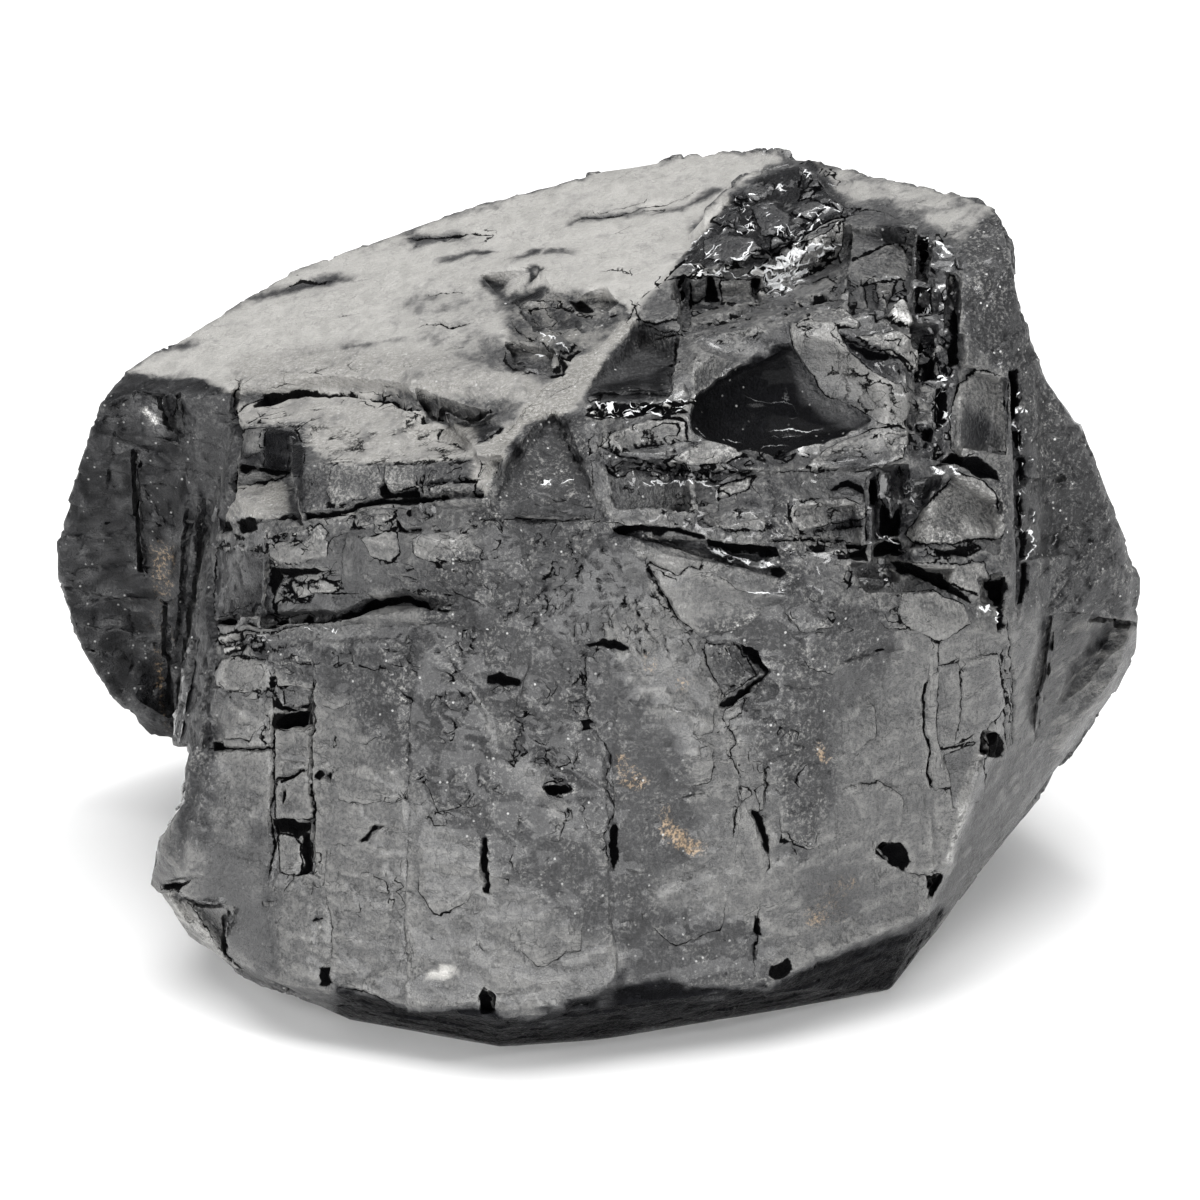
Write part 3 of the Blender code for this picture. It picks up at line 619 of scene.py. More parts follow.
for smudge, width in (("476,280 490,287 506,284", 4), ("504,303 520,300 534,294 546,288", 5), ("524,269 536,266 546,268", 2.5),
                      ("538,270 532,278 527,285", 2), ("492,288 500,296 508,304", 3), ("608,300 618,302 632,305", 2.5)):
    ridge(smudge, width, -0.15, tone=0.08, dust=0.0, grit=0.6)
plate("516,312 530,300 556,300 590,314 580,322 548,306", 0.1, 0.1, 0.2, rim=0.04, tone=0.6, dust=0.4, grit=0.6)
opening_with_painted_shade("566,298 580,299 594,307 590,311 574,305", 0.6)
plate("546,307 560,307 588,318 583,325 566,324 549,315", 0.15, 0.2, 0.4, rim=0.1, tone=0.2, polish=0.3, small=0.8,
      grit=0.5)
plate("514,322 526,320 548,328 566,340 579,345 568,353 556,351 530,338 516,332", 0.35, 0.2, 0.5, rim=0.1, tone=0.3,
      polish=0.35, small=0.9, grit=0.8)
# Painted glints on the bar's lower edge, and under the bar a black crack that is a painted shadow.
painted_glints("540,334 576,346 568,352 548,342", 8, 350, slant=25, reach=3.5)
opening_with_painted_shade("528,339 546,348 566,355 580,346 582,350 570,360 548,354", 0.6)
plate("502,362 508,346 524,340 546,344 560,356 558,368 545,372 525,372 508,366", 0.35, 0.2, 0.2, rim=0.1, tone=0.42,
      polish=0.35, small=0.6, grit=0.7)
# Painted shade on the pebble's lower left, then painted glints for its highlight.
region("502,356 520,366 528,374 506,370", soft=4, tone=0.12)
painted_glints("536,354 554,360 550,368 540,366", 6, 351, slant=20, reach=3.5)
opening_with_painted_shade("560,358 566,364 560,374 548,376 552,371 559,368", 0.4)
opening_with_painted_shade("606,311 613,309 620,313 612,316", 0.3)
crack("283,288 300,282 318,283 332,279", 3.0, 0.25)
crack("404,238 440,235 470,232 497,237", 3.0, 0.25)
crack("560,226 610,214 650,205 692,194", 2.0, 0.15, crack_shade=0.6)
crack("598,272 612,268 630,271 622,264", 1.6, 0.2)
crack("410,330 440,322 452,328 476,318", 2.6, 0.3)
crack("420,296 444,290 466,291", 2.0, 0.2, crack_shade=0.7)
region("472,478 476,452 500,434 511,425 530,400 556,374 590,352 622,322 640,314 628,338 600,368 574,402 "
       "564,414 527,424 494,478 486,499", soft=3, tone=0.7, dust=0.85, small=1.0, middling=0.3, polish=0.0, grit=0.9)
for stroke, wide in (("488,468 512,428 540,392 575,362", 1.4), ("500,446 535,408 570,384 600,356", 1.2)):
    crack(stroke, wide, 0.15, crack_shade=0.5)

# %% [markdown]
# ## The stepped ledges
# On the upper left the top has flaked away in two steps. Treads are bedding planes; risers are cleat faces, split into
# small blocks with black gaps between them, the black a painted shade. Under the top's edge runs a black line that is a
# painted shadow. Each block is a plate that leans its own way.

# %% Draw the ledges
region("214,505 300,512 420,505 480,505 520,530 540,600 500,636 440,600 400,590 330,612 216,614", soft=8, ease=0.8,
       tone=0.48, polish=0.25, small=0.3, middling=0.35)
region("237,400 270,398 330,396 404,402 424,408 470,430 486,462 420,462 330,466 300,446 277,426 238,428",
       soft=3, tone=0.64, dust=0.7, large=0.0, middling=0.2, small=0.35, polish=0.1, grit=0.5)
region("238,486 287,481 303,492 303,509 264,521 220,521 232,498", soft=3, tone=0.66, dust=0.66, small=0.9,
       middling=0.3, grit=0.9)
strata("240,402 420,404 480,440 482,462 320,464 280,428", 60, 383, slant=3, reach=20.0, wide=1.1, deep=0.05)
region("286,474 308,474 308,536 290,536", soft=8, tone=0.3, dust=0.0)
# A painted shadow: the black line under the top's edge, where it steps down to the ledge.
opening_with_painted_shade("262,391 273,389 303,387 330,390 345,390 360,396 340,397 303,395 273,400 254,406 256,400", 1.2)
crack("236,414 244,402 262,394", 3.0, 0.5)
crack("340,392 360,397 396,400 421,407", 4.4, 0.6, taper=0.1)
opening_with_painted_shade("423,410 440,411 456,416 446,422 424,424", 1.2)
plate("438,440 446,424 466,420 502,430 490,441 462,446", 0.1, 0.6, 0.4, rim=0.2, tone=0.12, polish=0.2, small=1.2,
      grit=0.6)
# A small block with a lit grey face, a right face painted black as painted shade, and a painted shadow under it.
plate("241,428 270,427 264,452 242,462", 0.1, 0.3, 0.3, rim=0.1, tone=0.46, small=0.3)
plate("268,428 282,427 296,434 303,450 304,478 292,476 264,470 264,450", 0.05, 0.1, 0.2, rim=0.1, tone=0.0,
      polish=0.0, small=0.5, dust=0.0)
opening_with_painted_shade("241,466 262,470 290,472 291,477 262,476 241,472", 0.8)
region("241,450 264,454 262,468 241,466", soft=4, tone=0.12)
region("240,424 306,424 308,480 240,480", soft=4, dust=0.0)
# Painted glints on the block's black face.
painted_glints("272,438 296,438 294,466 272,462", 3, 340, slant=60, reach=2.0, high=0.06, painted_glint_share=0.4)
crack("241,484 262,482 287,478", 3.0, 0.4)
region("304,466 486,463 484,494 304,510", soft=4, tone=0.46, small=0.4, middling=0.3, grit=0.4)
plate("332,468 376,465 380,480 378,498 331,504 327,488", 0.15, 0.3, 0.5, rim=0.08, tone=0.56, middling=0.2, small=0.2)
plate("384,466 418,464 416,488 390,494 382,484", 0.2, -0.4, 0.2, rim=0.08, tone=0.56, middling=0.1, small=0.2)
opening_with_painted_shade("380,480 383,482 390,494 418,490 417,497 384,499 380,492", 0.8)
plate("424,466 483,464 480,480 448,480 422,486", 0.0, 0.3, -0.8, rim=0.1, tone=0.34, small=0.5)
plate("428,488 450,482 477,484 474,494 429,499", 0.2, 0.1, 1.0, rim=0.12, tone=0.55, small=0.4, polish=0.3)
crack("424,474 420,484 421,496", 3.0, 0.5)
crack("424,484 450,479 478,482 484,488", 3.4, 0.5)
crack("304,466 330,463 376,462 421,461 486,463", 1.4, 0.2)
opening_with_painted_shade("268,517 300,511 354,505 393,499 430,495 483,493 483,498 430,501 393,505 354,511 320,516 280,519", 0.7)
region("216,520 300,522 350,512 480,500 500,520 430,526 300,546 216,548", soft=5, tone=0.5, grit=0.3)
opening_with_painted_shade("219,524 228,521 230,532 220,536", 0.8)
opening_with_painted_shade("234,523 254,520 256,532 238,535", 0.8)
opening_with_painted_shade("302,527 312,524 318,532 312,535", 0.6)
splinters("214,540 260,534 330,522 340,534 300,546 216,552", 18, 341, size=11, slant=-12, squat=0.3,
          tone=(0.3, 0.85), polish=(0.1, 0.6))
plate("352,514 366,508 392,507 393,522 372,530 354,528", 0.12, 0.4, 0.5, rim=0.12, tone=0.58, small=0.3)
opening_with_painted_shade("395,520 402,531 420,530 418,534 398,534", 0.5)
plate("270,545 300,540 320,522 330,530 328,556 300,562 284,566 270,562", 0.15, 0.1, 0.6, rim=0.08, tone=0.6, small=0.2)
plate("362,538 396,532 400,552 392,564 372,556", 0.1, -0.3, 0.4, rim=0.1, tone=0.6, small=0.25)
plate("412,540 426,534 450,532 470,538 482,550 480,560 440,563 414,558", 0.15, 0.2, 0.5, rim=0.06, tone=0.64, small=0.12)
plate("284,586 310,582 340,578 344,588 300,598 284,598", 0.1, 0.2, 0.6, rim=0.12, tone=0.64, small=0.2)
region("350,520 366,540 360,590 340,600 338,560", soft=6, tone=0.42, small=0.15, middling=0.1)
crack("354,514 347,540 344,562 336,588", 1.2, 0.2, crack_shade=0.6)
opening_with_painted_shade("271,570 292,568 316,566 328,572 300,576 284,584 276,598 270,590", 0.5)
splinters("272,566 330,562 326,580 278,600", 8, 342, size=8, slant=-5, squat=0.35, tone=(0.2, 0.7))
plate("215,552 240,550 262,552 272,560 273,612 215,617", 0.05, 0.4, 0.2, rim=0.1, tone=0.26, small=0.5, middling=0.5,
      grit=0.3)
region("216,586 272,584 272,614 216,617", soft=10, tone=0.08)
plate("274,602 330,592 374,596 372,610 330,614 276,618", 0.0, 0.1, 0.4, rim=0.06, tone=0.34, small=0.25)
region("380,570 450,568 470,600 420,596 384,590", soft=8, tone=0.4, grit=0.4)
TRIANGLE = "497,497 531,413 584,413 590,458 596,512 517,518"
region(TRIANGLE, soft=5, tone=0.40, small=0.9, middling=0.6, polish=0.05, grit=0.9)
smudges(TRIANGLE, 46, 386, size=7.0, slant=20, squat=0.6, tone=(0.05, 0.5), small=(0.5, 1.6))
# Painted glints.
painted_glints("536,480 576,480 574,488 540,488", 7, 343, slant=-4, reach=5)
crack("590,414 588,440 592,470 590,500", 1.3, 0.2)
crack("461,523 490,519 517,517 560,519 620,521 634,531", 1.4, 0.2, taper=0.1)
opening_with_painted_shade("214,620 258,619 300,619 330,612 360,604 382,598 405,595 425,599 440,606 456,611 450,614 430,607 "
        "404,600 384,604 350,614 320,622 259,626 215,624", 1.0)
crack("216,634 262,630 304,626 340,618", 2.0, 0.3)
# Painted glints along the ledge.
painted_glints("222,632 340,620 340,634 224,646", 12, 344, slant=-8, reach=5, painted_glint_share=0.4)
crack("236,380 237,440 233,495 212,540 209,573 214,640", 4.5, 1.0, taper=0.1)

# %% [markdown]
# ## The broad front
# The front is a dull cleat face. Upright cleats cut it into columns a few millimetres wide, and thin
# flakes have come off between them, which leaves low steps. A fan of fine streaks spreads down from where
# the break began, and a few pockets are rusty with iron.

# %% Draw the front's columns and flakes
FRONT = ("216,640 262,636 350,618 440,622 500,640 540,600 600,540 660,560 760,600 860,600 940,620 1006,640 1012,700 "
         "990,760 950,860 930,915 838,952 785,978 690,990 626,984 560,1010 480,1006 404,1006 330,985 240,968 "
         "196,930 180,880 200,800 206,700")
region(FRONT, soft=10, ease=1.0, tone=0.56, large=0.0, middling=0.3, small=0.25, polish=0.3)
for shape, lift, lean, fall in (("200,640 273,640 270,975 150,900", 0.05, -0.25, 0.1),
                                ("273,640 312,640 314,880 272,880", -0.12, 0.3, 0.0),
                                ("312,640 408,640 407,1010 314,980", 0.1, 0.16, -0.1),
                                ("408,620 488,630 485,1010 407,1010", -0.02, -0.22, 0.12),
                                ("488,640 600,700 616,1000 486,1010", 0.12, 0.2, 0.06),
                                ("616,700 730,720 764,900 758,990 616,1000", 0.05, -0.16, -0.1),
                                ("764,760 930,680 930,930 760,985", 0.0, 0.22, 0.1),
                                ("928,640 1010,640 1000,760 945,880 930,800", 0.08, -0.35, 0.05)):
    plate(shape, lift, lean, fall, rim=0.0)
region("200,560 226,560 212,700 206,840 176,840 184,740 196,640", soft=4, tone=0.34, small=1.1, middling=0.7)
plate("218,659 243,656 269,660 270,688 249,692 232,691 218,684 215,672", 0.12, -0.3, 0.5, tone=0.6, small=0.15)
region("212,691 273,690 274,700 212,702", soft=5, tone=0.35)
for chip in ("216,636 240,633 243,641 218,645", "222,648 244,645 240,652 222,655", "250,640 262,638 266,646 252,650"):
    plate(chip, 0.2, 0.5, 0.8, rim=0.3, tone=0.7, small=0.5)
crack("210,748 224,747 243,750 275,747", 3.0, 0.6, taper=0.1)
opening_with_painted_shade("211,741 224,740 226,748 212,749", 0.6)
crack("273,668 274,740 273,800 271,840 268,882", 2.6, 0.6, taper=0.1)
crack("312,674 312,740 313,800 314,872", 3.2, 0.7, taper=0.1)
plate("275,690 292,687 309,690 309,704 292,710 276,706", -0.35, 0.3, 1.2, rim=0.4, tone=0.42, small=0.1, polish=0.4)
opening_with_painted_shade("274,712 309,710 309,727 290,725 275,728", 1.0)
crack("275,777 290,773 310,766", 3.4, 0.6)
plate("276,781 311,768 312,816 296,818 277,822", 0.1, 0.4, 0.2, tone=0.55, small=0.2)
opening_with_painted_shade("281,789 287,787 288,798 283,806", 0.6)
opening_with_painted_shade("273,819 292,817 311,820 312,830 302,833 297,840 290,832 275,834", 0.8)
plate("276,834 292,834 304,842 302,868 278,871", -0.15, 0.3, 0.1, tone=0.52, small=0.2)
opening_with_painted_shade("305,836 312,832 314,873 294,873 296,868 304,864", 0.9)
crack("279,833 285,829 290,832", 1.4, 0.2, crack_shade=0.0)
crack("294,874 289,882 284,892", 2.0, 0.3)
crack("316,874 314,888 310,900", 1.5, 0.2)
opening_with_painted_shade("315,774 326,766 333,783 336,769 330,771 324,778", 0.7)
crack("328,845 326,880 329,923 331,968", 1.2, 0.3, crack_shade=0.7, taper=0.1)
crack("312,846 332,846 360,848", 1.2, 0.15, crack_shade=0.7)
crack("407,702 408,732 410,776 410,841 407,880 407,923 405,975", 1.1, 0.3, crack_shade=0.7, taper=0.1)
crack("488,688 487,740 487,812", 1.0, 0.2, crack_shade=0.6)
opening_with_painted_shade("483,834 487,836 486,862 487,892 482,892 479,860", 0.8)
opening_with_painted_shade("486,676 500,674 521,682 517,690 500,687 487,686", 0.5)
for patch in ("427,700 440,690 462,688 477,696 470,708 440,709", "369,640 386,624 410,622 433,634 420,650 385,658",
              "444,640 470,640 478,652 455,660", "560,700 590,690 610,720 590,750 566,740"):
    region(patch, soft=6, tone=0.3, small=1.0, middling=0.8)
for shape, toward in (("318,688 332,684 346,690 350,704 336,712 322,706", (0, 1)),
                      ("428,716 446,712 458,724 450,740 434,742", (1, 0.4)),
                      ("334,722 356,716 378,720 386,734 366,744 342,740", (0.2, 1)),
                      ("352,640 372,636 392,644 396,662 374,672 356,664", (-0.6, 0.8)),
                      ("490,726 506,720 520,730 522,750 508,760 494,752", (0.7, 0.7)),
                      ("340,880 372,870 396,884 392,930 360,944 338,920", (0.8, -0.5)),
                      ("420,850 452,842 474,856 470,900 440,914 420,890", (-0.3, 1)),
                      ("500,900 548,884 584,904 580,950 536,966 504,940", (0.5, 0.8)),
                      ("222,706 252,704 264,722 250,740 226,738", (0.4, 1)),
                      ("338,770 372,764 402,772 400,800 366,806 340,798", (0.1, 1)),
                      ("420,770 450,760 480,772 476,806 440,812", (-0.5, 0.8)),
                      ("516,806 540,802 566,812 560,840 530,846", (0.9, 0.2)),
                      ("640,880 690,866 730,884 724,930 676,944 644,920", (0.1, 1)),
                      ("662,740 690,730 716,744 712,780 684,790 664,770", (0.9, 0.3))):
    flake(shape, 0.22, toward, tone=0.55)
opening_with_painted_shade("360,843 374,829 392,826 384,832 376,836 365,844", 0.4)
crack("372,800 388,802 400,801", 1.6, 0.2)
crack("426,818 440,816 452,815", 1.2, 0.15)
crack("163,882 180,886 199,876", 4.0, 0.5)
opening_with_painted_shade("164,882 176,881 186,884 180,890 168,888", 0.5)
# Painted shade: a soft dark band down the left of the columns.
region("250,822 274,828 272,975 252,975", soft=14, tone=0.36)
region("196,800 210,800 212,842 200,842", soft=6, tone=0.3)
plate("158,892 176,890 190,905 205,930 240,968 226,966 192,942 166,912", 0.1, -0.6, 0.8, rim=0.05, tone=0.68,
      dust=0.25, small=0.1)
region("214,846 262,850 262,960 230,955 200,910", soft=16, tone=0.46, small=0.2, middling=0.1)
opening_with_painted_shade("319,969 330,968 332,986 324,990 319,986", 0.5)
crack("331,988 363,991 383,1002 404,1010", 2.2, 0.35)
opening_with_painted_shade("481,996 486,986 492,996 493,1012 478,1012", 0.6)
plate("427,976 433,969 441,968 446,962 452,966 460,963 457,969 460,973 452,972 448,978 441,973 434,977", 0.15, 0.2,
      0.8, rim=0.0, tone=1.0, dust=1.0, small=1.0)
crack("553,770 563,766 572,764", 2.2, 0.3)
crack("574,744 573,760 571,776", 1.6, 0.3)
opening_with_painted_shade("542,788 552,784 568,785 571,793 562,798 548,796", 0.9)
region("586,650 602,690 610,740 596,752 580,742 590,700", soft=3, tone=0.62, small=0.2)
region("570,640 590,636 606,700 622,770 648,840 650,900 620,890 604,830 590,740", soft=16, tone=0.34, grit=0.7)
crack("583,642 586,686 597,732 610,760 606,773 613,806 608,836 608,868", 1.8, 0.4, crack_shade=0.8, taper=0.1)
# Painted shade: a soft dark band beside the groove.
region("606,740 622,760 640,830 644,900 620,890 606,840", soft=14, tone=0.22, grit=0.6)
opening_with_painted_shade("612,826 618,824 621,846 617,868 611,860", 0.4)
region("608,868 640,868 650,900 620,905 600,890", soft=10, tone=0.34, small=0.8)
region("540,540 600,530 650,535 655,566 640,600 604,626 592,660 575,720 560,735 540,700 525,640", soft=14,
       tone=0.36, small=0.5, middling=0.5)
for k in range(46):
    turn = math.radians(66 + 2.3 * k)
    start = 10 + 16 * (k * 7 % 5)
    reach = start + 40 + 24 * (k * 3 % 5)
    bend = 16 * math.sin(k * 1.7) + 0.5 * (k - 26)
    first = (610 + start * math.cos(turn), 532 + start * math.sin(turn))
    last = (610 + reach * math.cos(turn) - bend, 532 + reach * math.sin(turn))
    line = " ".join(f"{first[0] + (last[0] - first[0]) * t + bend * t * (1 - t):.0f},"
                    f"{first[1] + (last[1] - first[1]) * t:.0f}" for t in (0, 0.35, 0.7, 1))
    crack(line, 0.9 + 0.5 * (k % 3), 0.12 + 0.04 * (k % 4), crack_shade=(0.0, 0.6, 0.0)[k % 3], taper=0.5)
smudges("540,536 600,530 650,536 655,566 640,600 604,626 592,660 575,720 560,735 540,700 525,640", 90, 388, size=16.0,
        slant=100, squat=0.14, soft=2.0, tone=(0.1, 0.56), small=(0.3, 1.2))
for layered, count, seed, slant in (("480,520 600,520 580,600 520,640 480,580", 34, 370, 108),
                                    ("540,600 600,560 640,600 600,720 560,700", 34, 371, 96),
                                    ("600,540 640,560 720,640 640,660", 20, 372, 62),
                                    ("216,640 330,620 400,610 470,640 400,660 230,670", 18, 373, -8),
                                    ("330,500 480,505 480,530 340,528", 10, 374, -10),
                                    ("216,540 340,530 340,600 220,610", 14, 375, -8),
                                    ("350,560 470,562 520,600 400,594", 12, 376, 12)):
    strata(layered, 2 * count, seed, slant, reach=15.0, wide=1.3)
opening_with_painted_shade("582,644 600,643 628,645 628,652 612,655 600,650 584,648", 0.4)
for spot in ("613,756 622,752 634,762 650,784 640,796 622,786", "660,806 668,806 676,822 690,842 698,850 690,858 "
             "674,850 664,830", "643,650 652,652 652,668 644,672", "672,680 680,672 690,676 684,692 674,692",
             "817,742 827,742 829,762 820,764"):
    region(spot, soft=12, rust=0.6, small=0.9)
region("800,872 840,862 862,884 850,920 812,930", soft=18, rust=0.22, tone=0.42)

for scalloped, count, seed, slant in (("330,640 470,628 560,690 540,760 420,716 335,700", 34, 396, 20),
                                      ("216,640 330,640 335,690 216,700", 8, 397, 0),
                                      ("770,560 880,560 900,640 800,650", 12, 398, 10),
                                      ("700,640 820,640 820,840 780,880 720,760", 14, 401, 70),
                                      ("490,700 590,740 600,860 540,850 480,790", 16, 399, 60),
                                      ("330,740 480,760 590,880 480,960 340,900", 16, 400, 80)):
    flakes(scalloped, count, seed, size=17, slant=slant, squat=0.6, lift=0.24)
for gritty, amount in (("430,560 520,540 545,600 560,660 600,720 614,800 606,850 570,800 520,740 470,680 420,640", 0.8),
                       ("330,650 400,636 470,690 500,760 560,830 620,880 690,930 660,960 590,930 500,870 430,800 370,730",
                        0.75), ("700,620 790,600 830,680 836,800 800,860 776,780 740,700", 0.85),
                       ("770,560 860,545 900,600 880,680 830,660", 0.7), ("470,500 640,515 640,540 560,560 480,540", 0.6),
                       ("560,640 600,650 690,760 700,850 640,880 612,800", 0.5), ("196,640 216,650 210,800 180,850", 0.8),
                       ("620,900 760,930 780,980 640,990", 0.5), ("240,640 330,646 400,640 380,690 300,680", 0.5)):
    region(gritty, soft=18, grit=amount, tone=0.42)
    smudges(gritty, 90, 387 + len(gritty), size=8.0, slant=100, squat=0.5, tone=(0.14, 0.56), grit=(0.3, 1.0),
            small=(0.3, 1.3))

# %% Draw the cracked middle
plate("629,541 700,556 719,572 740,592 760,610 740,628 700,634 690,628 676,612 648,563", 0.1, 0.15, 0.3, rim=0.0,
      tone=0.58, small=0.25, middling=0.2)
crack("646,565 649,561 665,571 680,577 688,565 699,567 701,558", 2.2, 0.35, taper=0.05)
crack("646,565 660,588 676,613 692,630", 3.0, 0.5, taper=0.1)
crack("701,567 719,576 739,590 782,592", 1.8, 0.25, crack_shade=0.7)
# A painted glint along this lip.
ridge("742,589 760,591 784,592", 1.2, 0.12, painted_glint_share=0.4, polish=0.8)
region("606,528 640,526 700,536 712,552 690,548 640,540 610,536", soft=4, tone=0.12, grit=0.6)
region("704,546 750,552 782,556 784,578 766,572 730,566 710,556", soft=3, tone=0.2, grit=0.5, polish=0.3)
opening_with_painted_shade("612,525 640,524 668,527 703,536 705,541 672,534 640,532 622,533", 0.8)
opening_with_painted_shade("704,541 738,545 776,550 779,558 752,556 724,551 706,547", 0.8)
opening_with_painted_shade("766,568 780,566 784,574 778,580 768,576", 0.6)
# Painted glints and bright lips in the black wedge, as painted highlights.
painted_glints("712,550 776,562 774,568 720,560", 12, 352, slant=8, reach=7, high=0.2)
ridge("716,549 735,556 752,560 776,565", 1.5, 0.3, painted_glint_share=0.4, polish=0.9)
ridge("640,534 668,538 690,541", 1.2, 0.2, tone=0.8, polish=0.8)
opening_with_painted_shade("733,644 752,649 771,671 759,680 739,697 728,709 721,706 724,696 748,680 760,671 750,660 740,652", 1.3)
plate("706,646 730,644 748,660 756,671 724,694 712,680 706,664", 0.15, -0.6, 0.6, rim=0.2, tone=0.42, small=0.7)
crack("727,712 739,699 747,696 742,716 732,720", 1.8, 0.3, taper=0.05)
crack("729,726 732,732 739,741 732,750 734,765 740,778", 2.2, 0.35, taper=0.1)
crack("736,790 742,783 749,786 750,796 742,803 736,798 736,790", 1.4, 0.25, taper=0.02)
crack("742,803 737,813 737,828 731,840", 2.4, 0.35)
crack("767,765 765,803 764,818", 2.0, 0.35)
opening_with_painted_shade("751,811 762,814 768,838 767,860 761,846 757,826", 0.8)
crack("767,856 766,866 763,876", 1.8, 0.3)
crack("735,765 772,762 818,749", 1.1, 0.15, crack_shade=0.7)
crack("764,898 759,918 759,942 755,986", 1.8, 0.3)
opening_with_painted_shade("756,918 762,920 762,938 756,936", 0.4)
opening_with_painted_shade("770,966 788,958 796,970 784,980 772,978", 0.35)
crack("928,679 923,700 924,727 931,752 928,773 931,790", 3.6, 0.4, taper=0.15)
crack("938,636 939,674 953,675", 1.7, 0.3, taper=0.1)
crack("931,789 950,790 964,791", 1.5, 0.25)
opening_with_painted_shade("901,617 914,603 928,605 937,620 926,614 914,609", 0.6)
region("700,630 800,640 830,700 812,840 780,860 770,760 740,700", soft=20, tone=0.42, small=0.9, middling=0.6)
region("770,590 850,560 880,600 862,700 840,720 800,660", soft=14, tone=0.4, small=1.0, middling=0.5)
for shape, toward in (("796,640 816,632 838,640 850,660 830,674 806,668", (-0.6, 0.8)),
                      ("838,700 856,694 872,706 876,738 856,750 842,738", (1, 0.2)),
                      ("688,700 704,694 718,706 716,730 698,738", (0.6, 0.8)),
                      ("776,800 806,790 836,804 840,840 806,852 780,838", (-0.4, 0.9)),
                      ("846,790 880,780 904,796 900,832 868,836", (0.3, -0.9)),
                      ("780,600 810,594 838,604 836,626 804,632", (0.3, 0.9))):
    flake(shape, 0.24, toward, tone=0.54)

# %% Draw the lower right and the foot
plate("940,664 1000,650 1010,700 980,740 944,752 934,720", 0.1, 0.4, 0.1, rim=0.1, tone=0.52, small=0.25)
plate("946,756 986,742 984,800 950,806", 0.05, 0.5, 0.1, rim=0.12, tone=0.48, small=0.25)
opening_with_painted_shade("878,840 902,842 909,862 901,871 888,859 876,852", 0.7)
opening_with_painted_shade("926,875 943,874 934,895 925,898", 0.7)
opening_with_painted_shade("982,730 1002,734 1004,756 988,758", 0.6)
plate("939,862 946,848 956,800 976,752 984,752 962,820 950,862", 0.1, -0.8, 0.2, rim=0.0, tone=0.7, small=0.2)
crack("901,871 920,873 942,872", 2.0, 0.3)
crack("960,652 962,700 958,742", 1.8, 0.3, taper=0.1)
crack("1000,656 1004,700 1006,742", 2.2, 0.4, taper=0.1)
region("1052,620 1136,600 1140,700 1110,760 1060,790 1030,730", soft=40, tone=0.48, dust=0.12, small=0.25,
       middling=0.15, polish=0.1)
# Painted shadow: the band along the bottom is painted near black for the underside that curves in under the lump, and
# the smudges and patch after it darken it further as painted shade.
region("335,985 404,1008 480,1008 520,1019 556,1015 565,999 592,996 628,982 660,976 690,988 770,990 788,976 "
       "838,952 910,932 940,905 960,925 900,1000 600,1060 340,1040", soft=9, tone=0.01, polish=0.0, small=0.7,
       middling=0.6, dust=0.0, grit=0.1)
smudges("340,996 480,1012 600,1000 800,980 900,940 900,960 600,1030 350,1020", 40, 389, size=14.0, slant=0,
        squat=0.3, tone=(0.0, 0.18), middling=(0.3, 1.0))
region("590,996 628,966 640,940 622,985 600,1016", soft=5, tone=0.16)
print("drawn so far: top, ledges, front and foot")

# %% [markdown]
# ## The shell-shaped break
# On the upper right a bright band has broken like glass. It has a black knob on top, a stack of thin plates with gaps
# under it, a smooth bowl with faint scratches, and lens-shaped splinters round the bowl. The bowl's floor is painted
# near black as painted shade and its sunlit right wall pale as painted light; a bright streak under the knob and two
# crystals are painted highlights, and many small lips carry painted glints. It is the glossiest part, so its plates
# lean more than the others do, to catch the light in turn.

# %% Draw the knob and the plates under it
region("640,318 690,246 716,214 751,186 768,164 800,164 830,180 847,208 880,196 930,224 962,246 1000,300 1010,420 "
       "1008,560 1000,620 900,610 830,600 780,560 700,545 630,530 590,500 586,420 600,366",
       soft=5, tone=0.50, polish=0.25, small=0.45, middling=0.45, shell=0.08, dust=0.0, grit=0.2)
smudges("640,318 780,290 900,300 900,420 960,480 1000,560 1000,610 800,590 700,540 600,500 600,430 690,440 700,360",
        150, 392, size=11.0, slant=0, squat=0.35, tone=(0.15, 0.62), grit=(0.0, 0.7), small=(0.2, 1.0))
KNOB = ("764,177 751,188 726,199 716,216 700,230 688,246 676,262 694,265 719,266 758,266 783,248 802,235 834,219 "
        "849,211 841,198 828,182 812,168 790,164")
region(KNOB, soft=3, tone=0.06, polish=0.25, small=0.8, middling=0.5, shell=0.3, grit=0.1)
splinters(KNOB, 24, 301, size=16, slant=-28, squat=0.55, tone=(0.02, 0.34), polish=(0.1, 0.6), lift=0.2)
plate("700,240 722,232 752,240 760,250 730,262 704,258", 0.1, 0.3, 0.4, rim=0.03, tone=0.36, polish=0.3, small=0.6)
plate("752,206 770,200 790,214 786,232 760,236", 0.2, 0.4, 0.6, rim=0.02, tone=0.30, polish=0.35, small=0.9)
# Painted glints over the knob, and painted highlights along two of its edges.
painted_glints(KNOB, 46, 302, slant=-25, reach=3.0, high=0.10, painted_glint_share=0.8)
ridge("724,261 738,259 750,256", 1.6, 0.25, painted_glint_share=0.5, polish=0.9)
ridge("690,244 700,236 712,226", 1.0, 0.2, painted_glint_share=0.4, polish=0.9)
crack("758,268 783,248 804,234 834,218 852,208", 3.2, 0.6, taper=0.1)
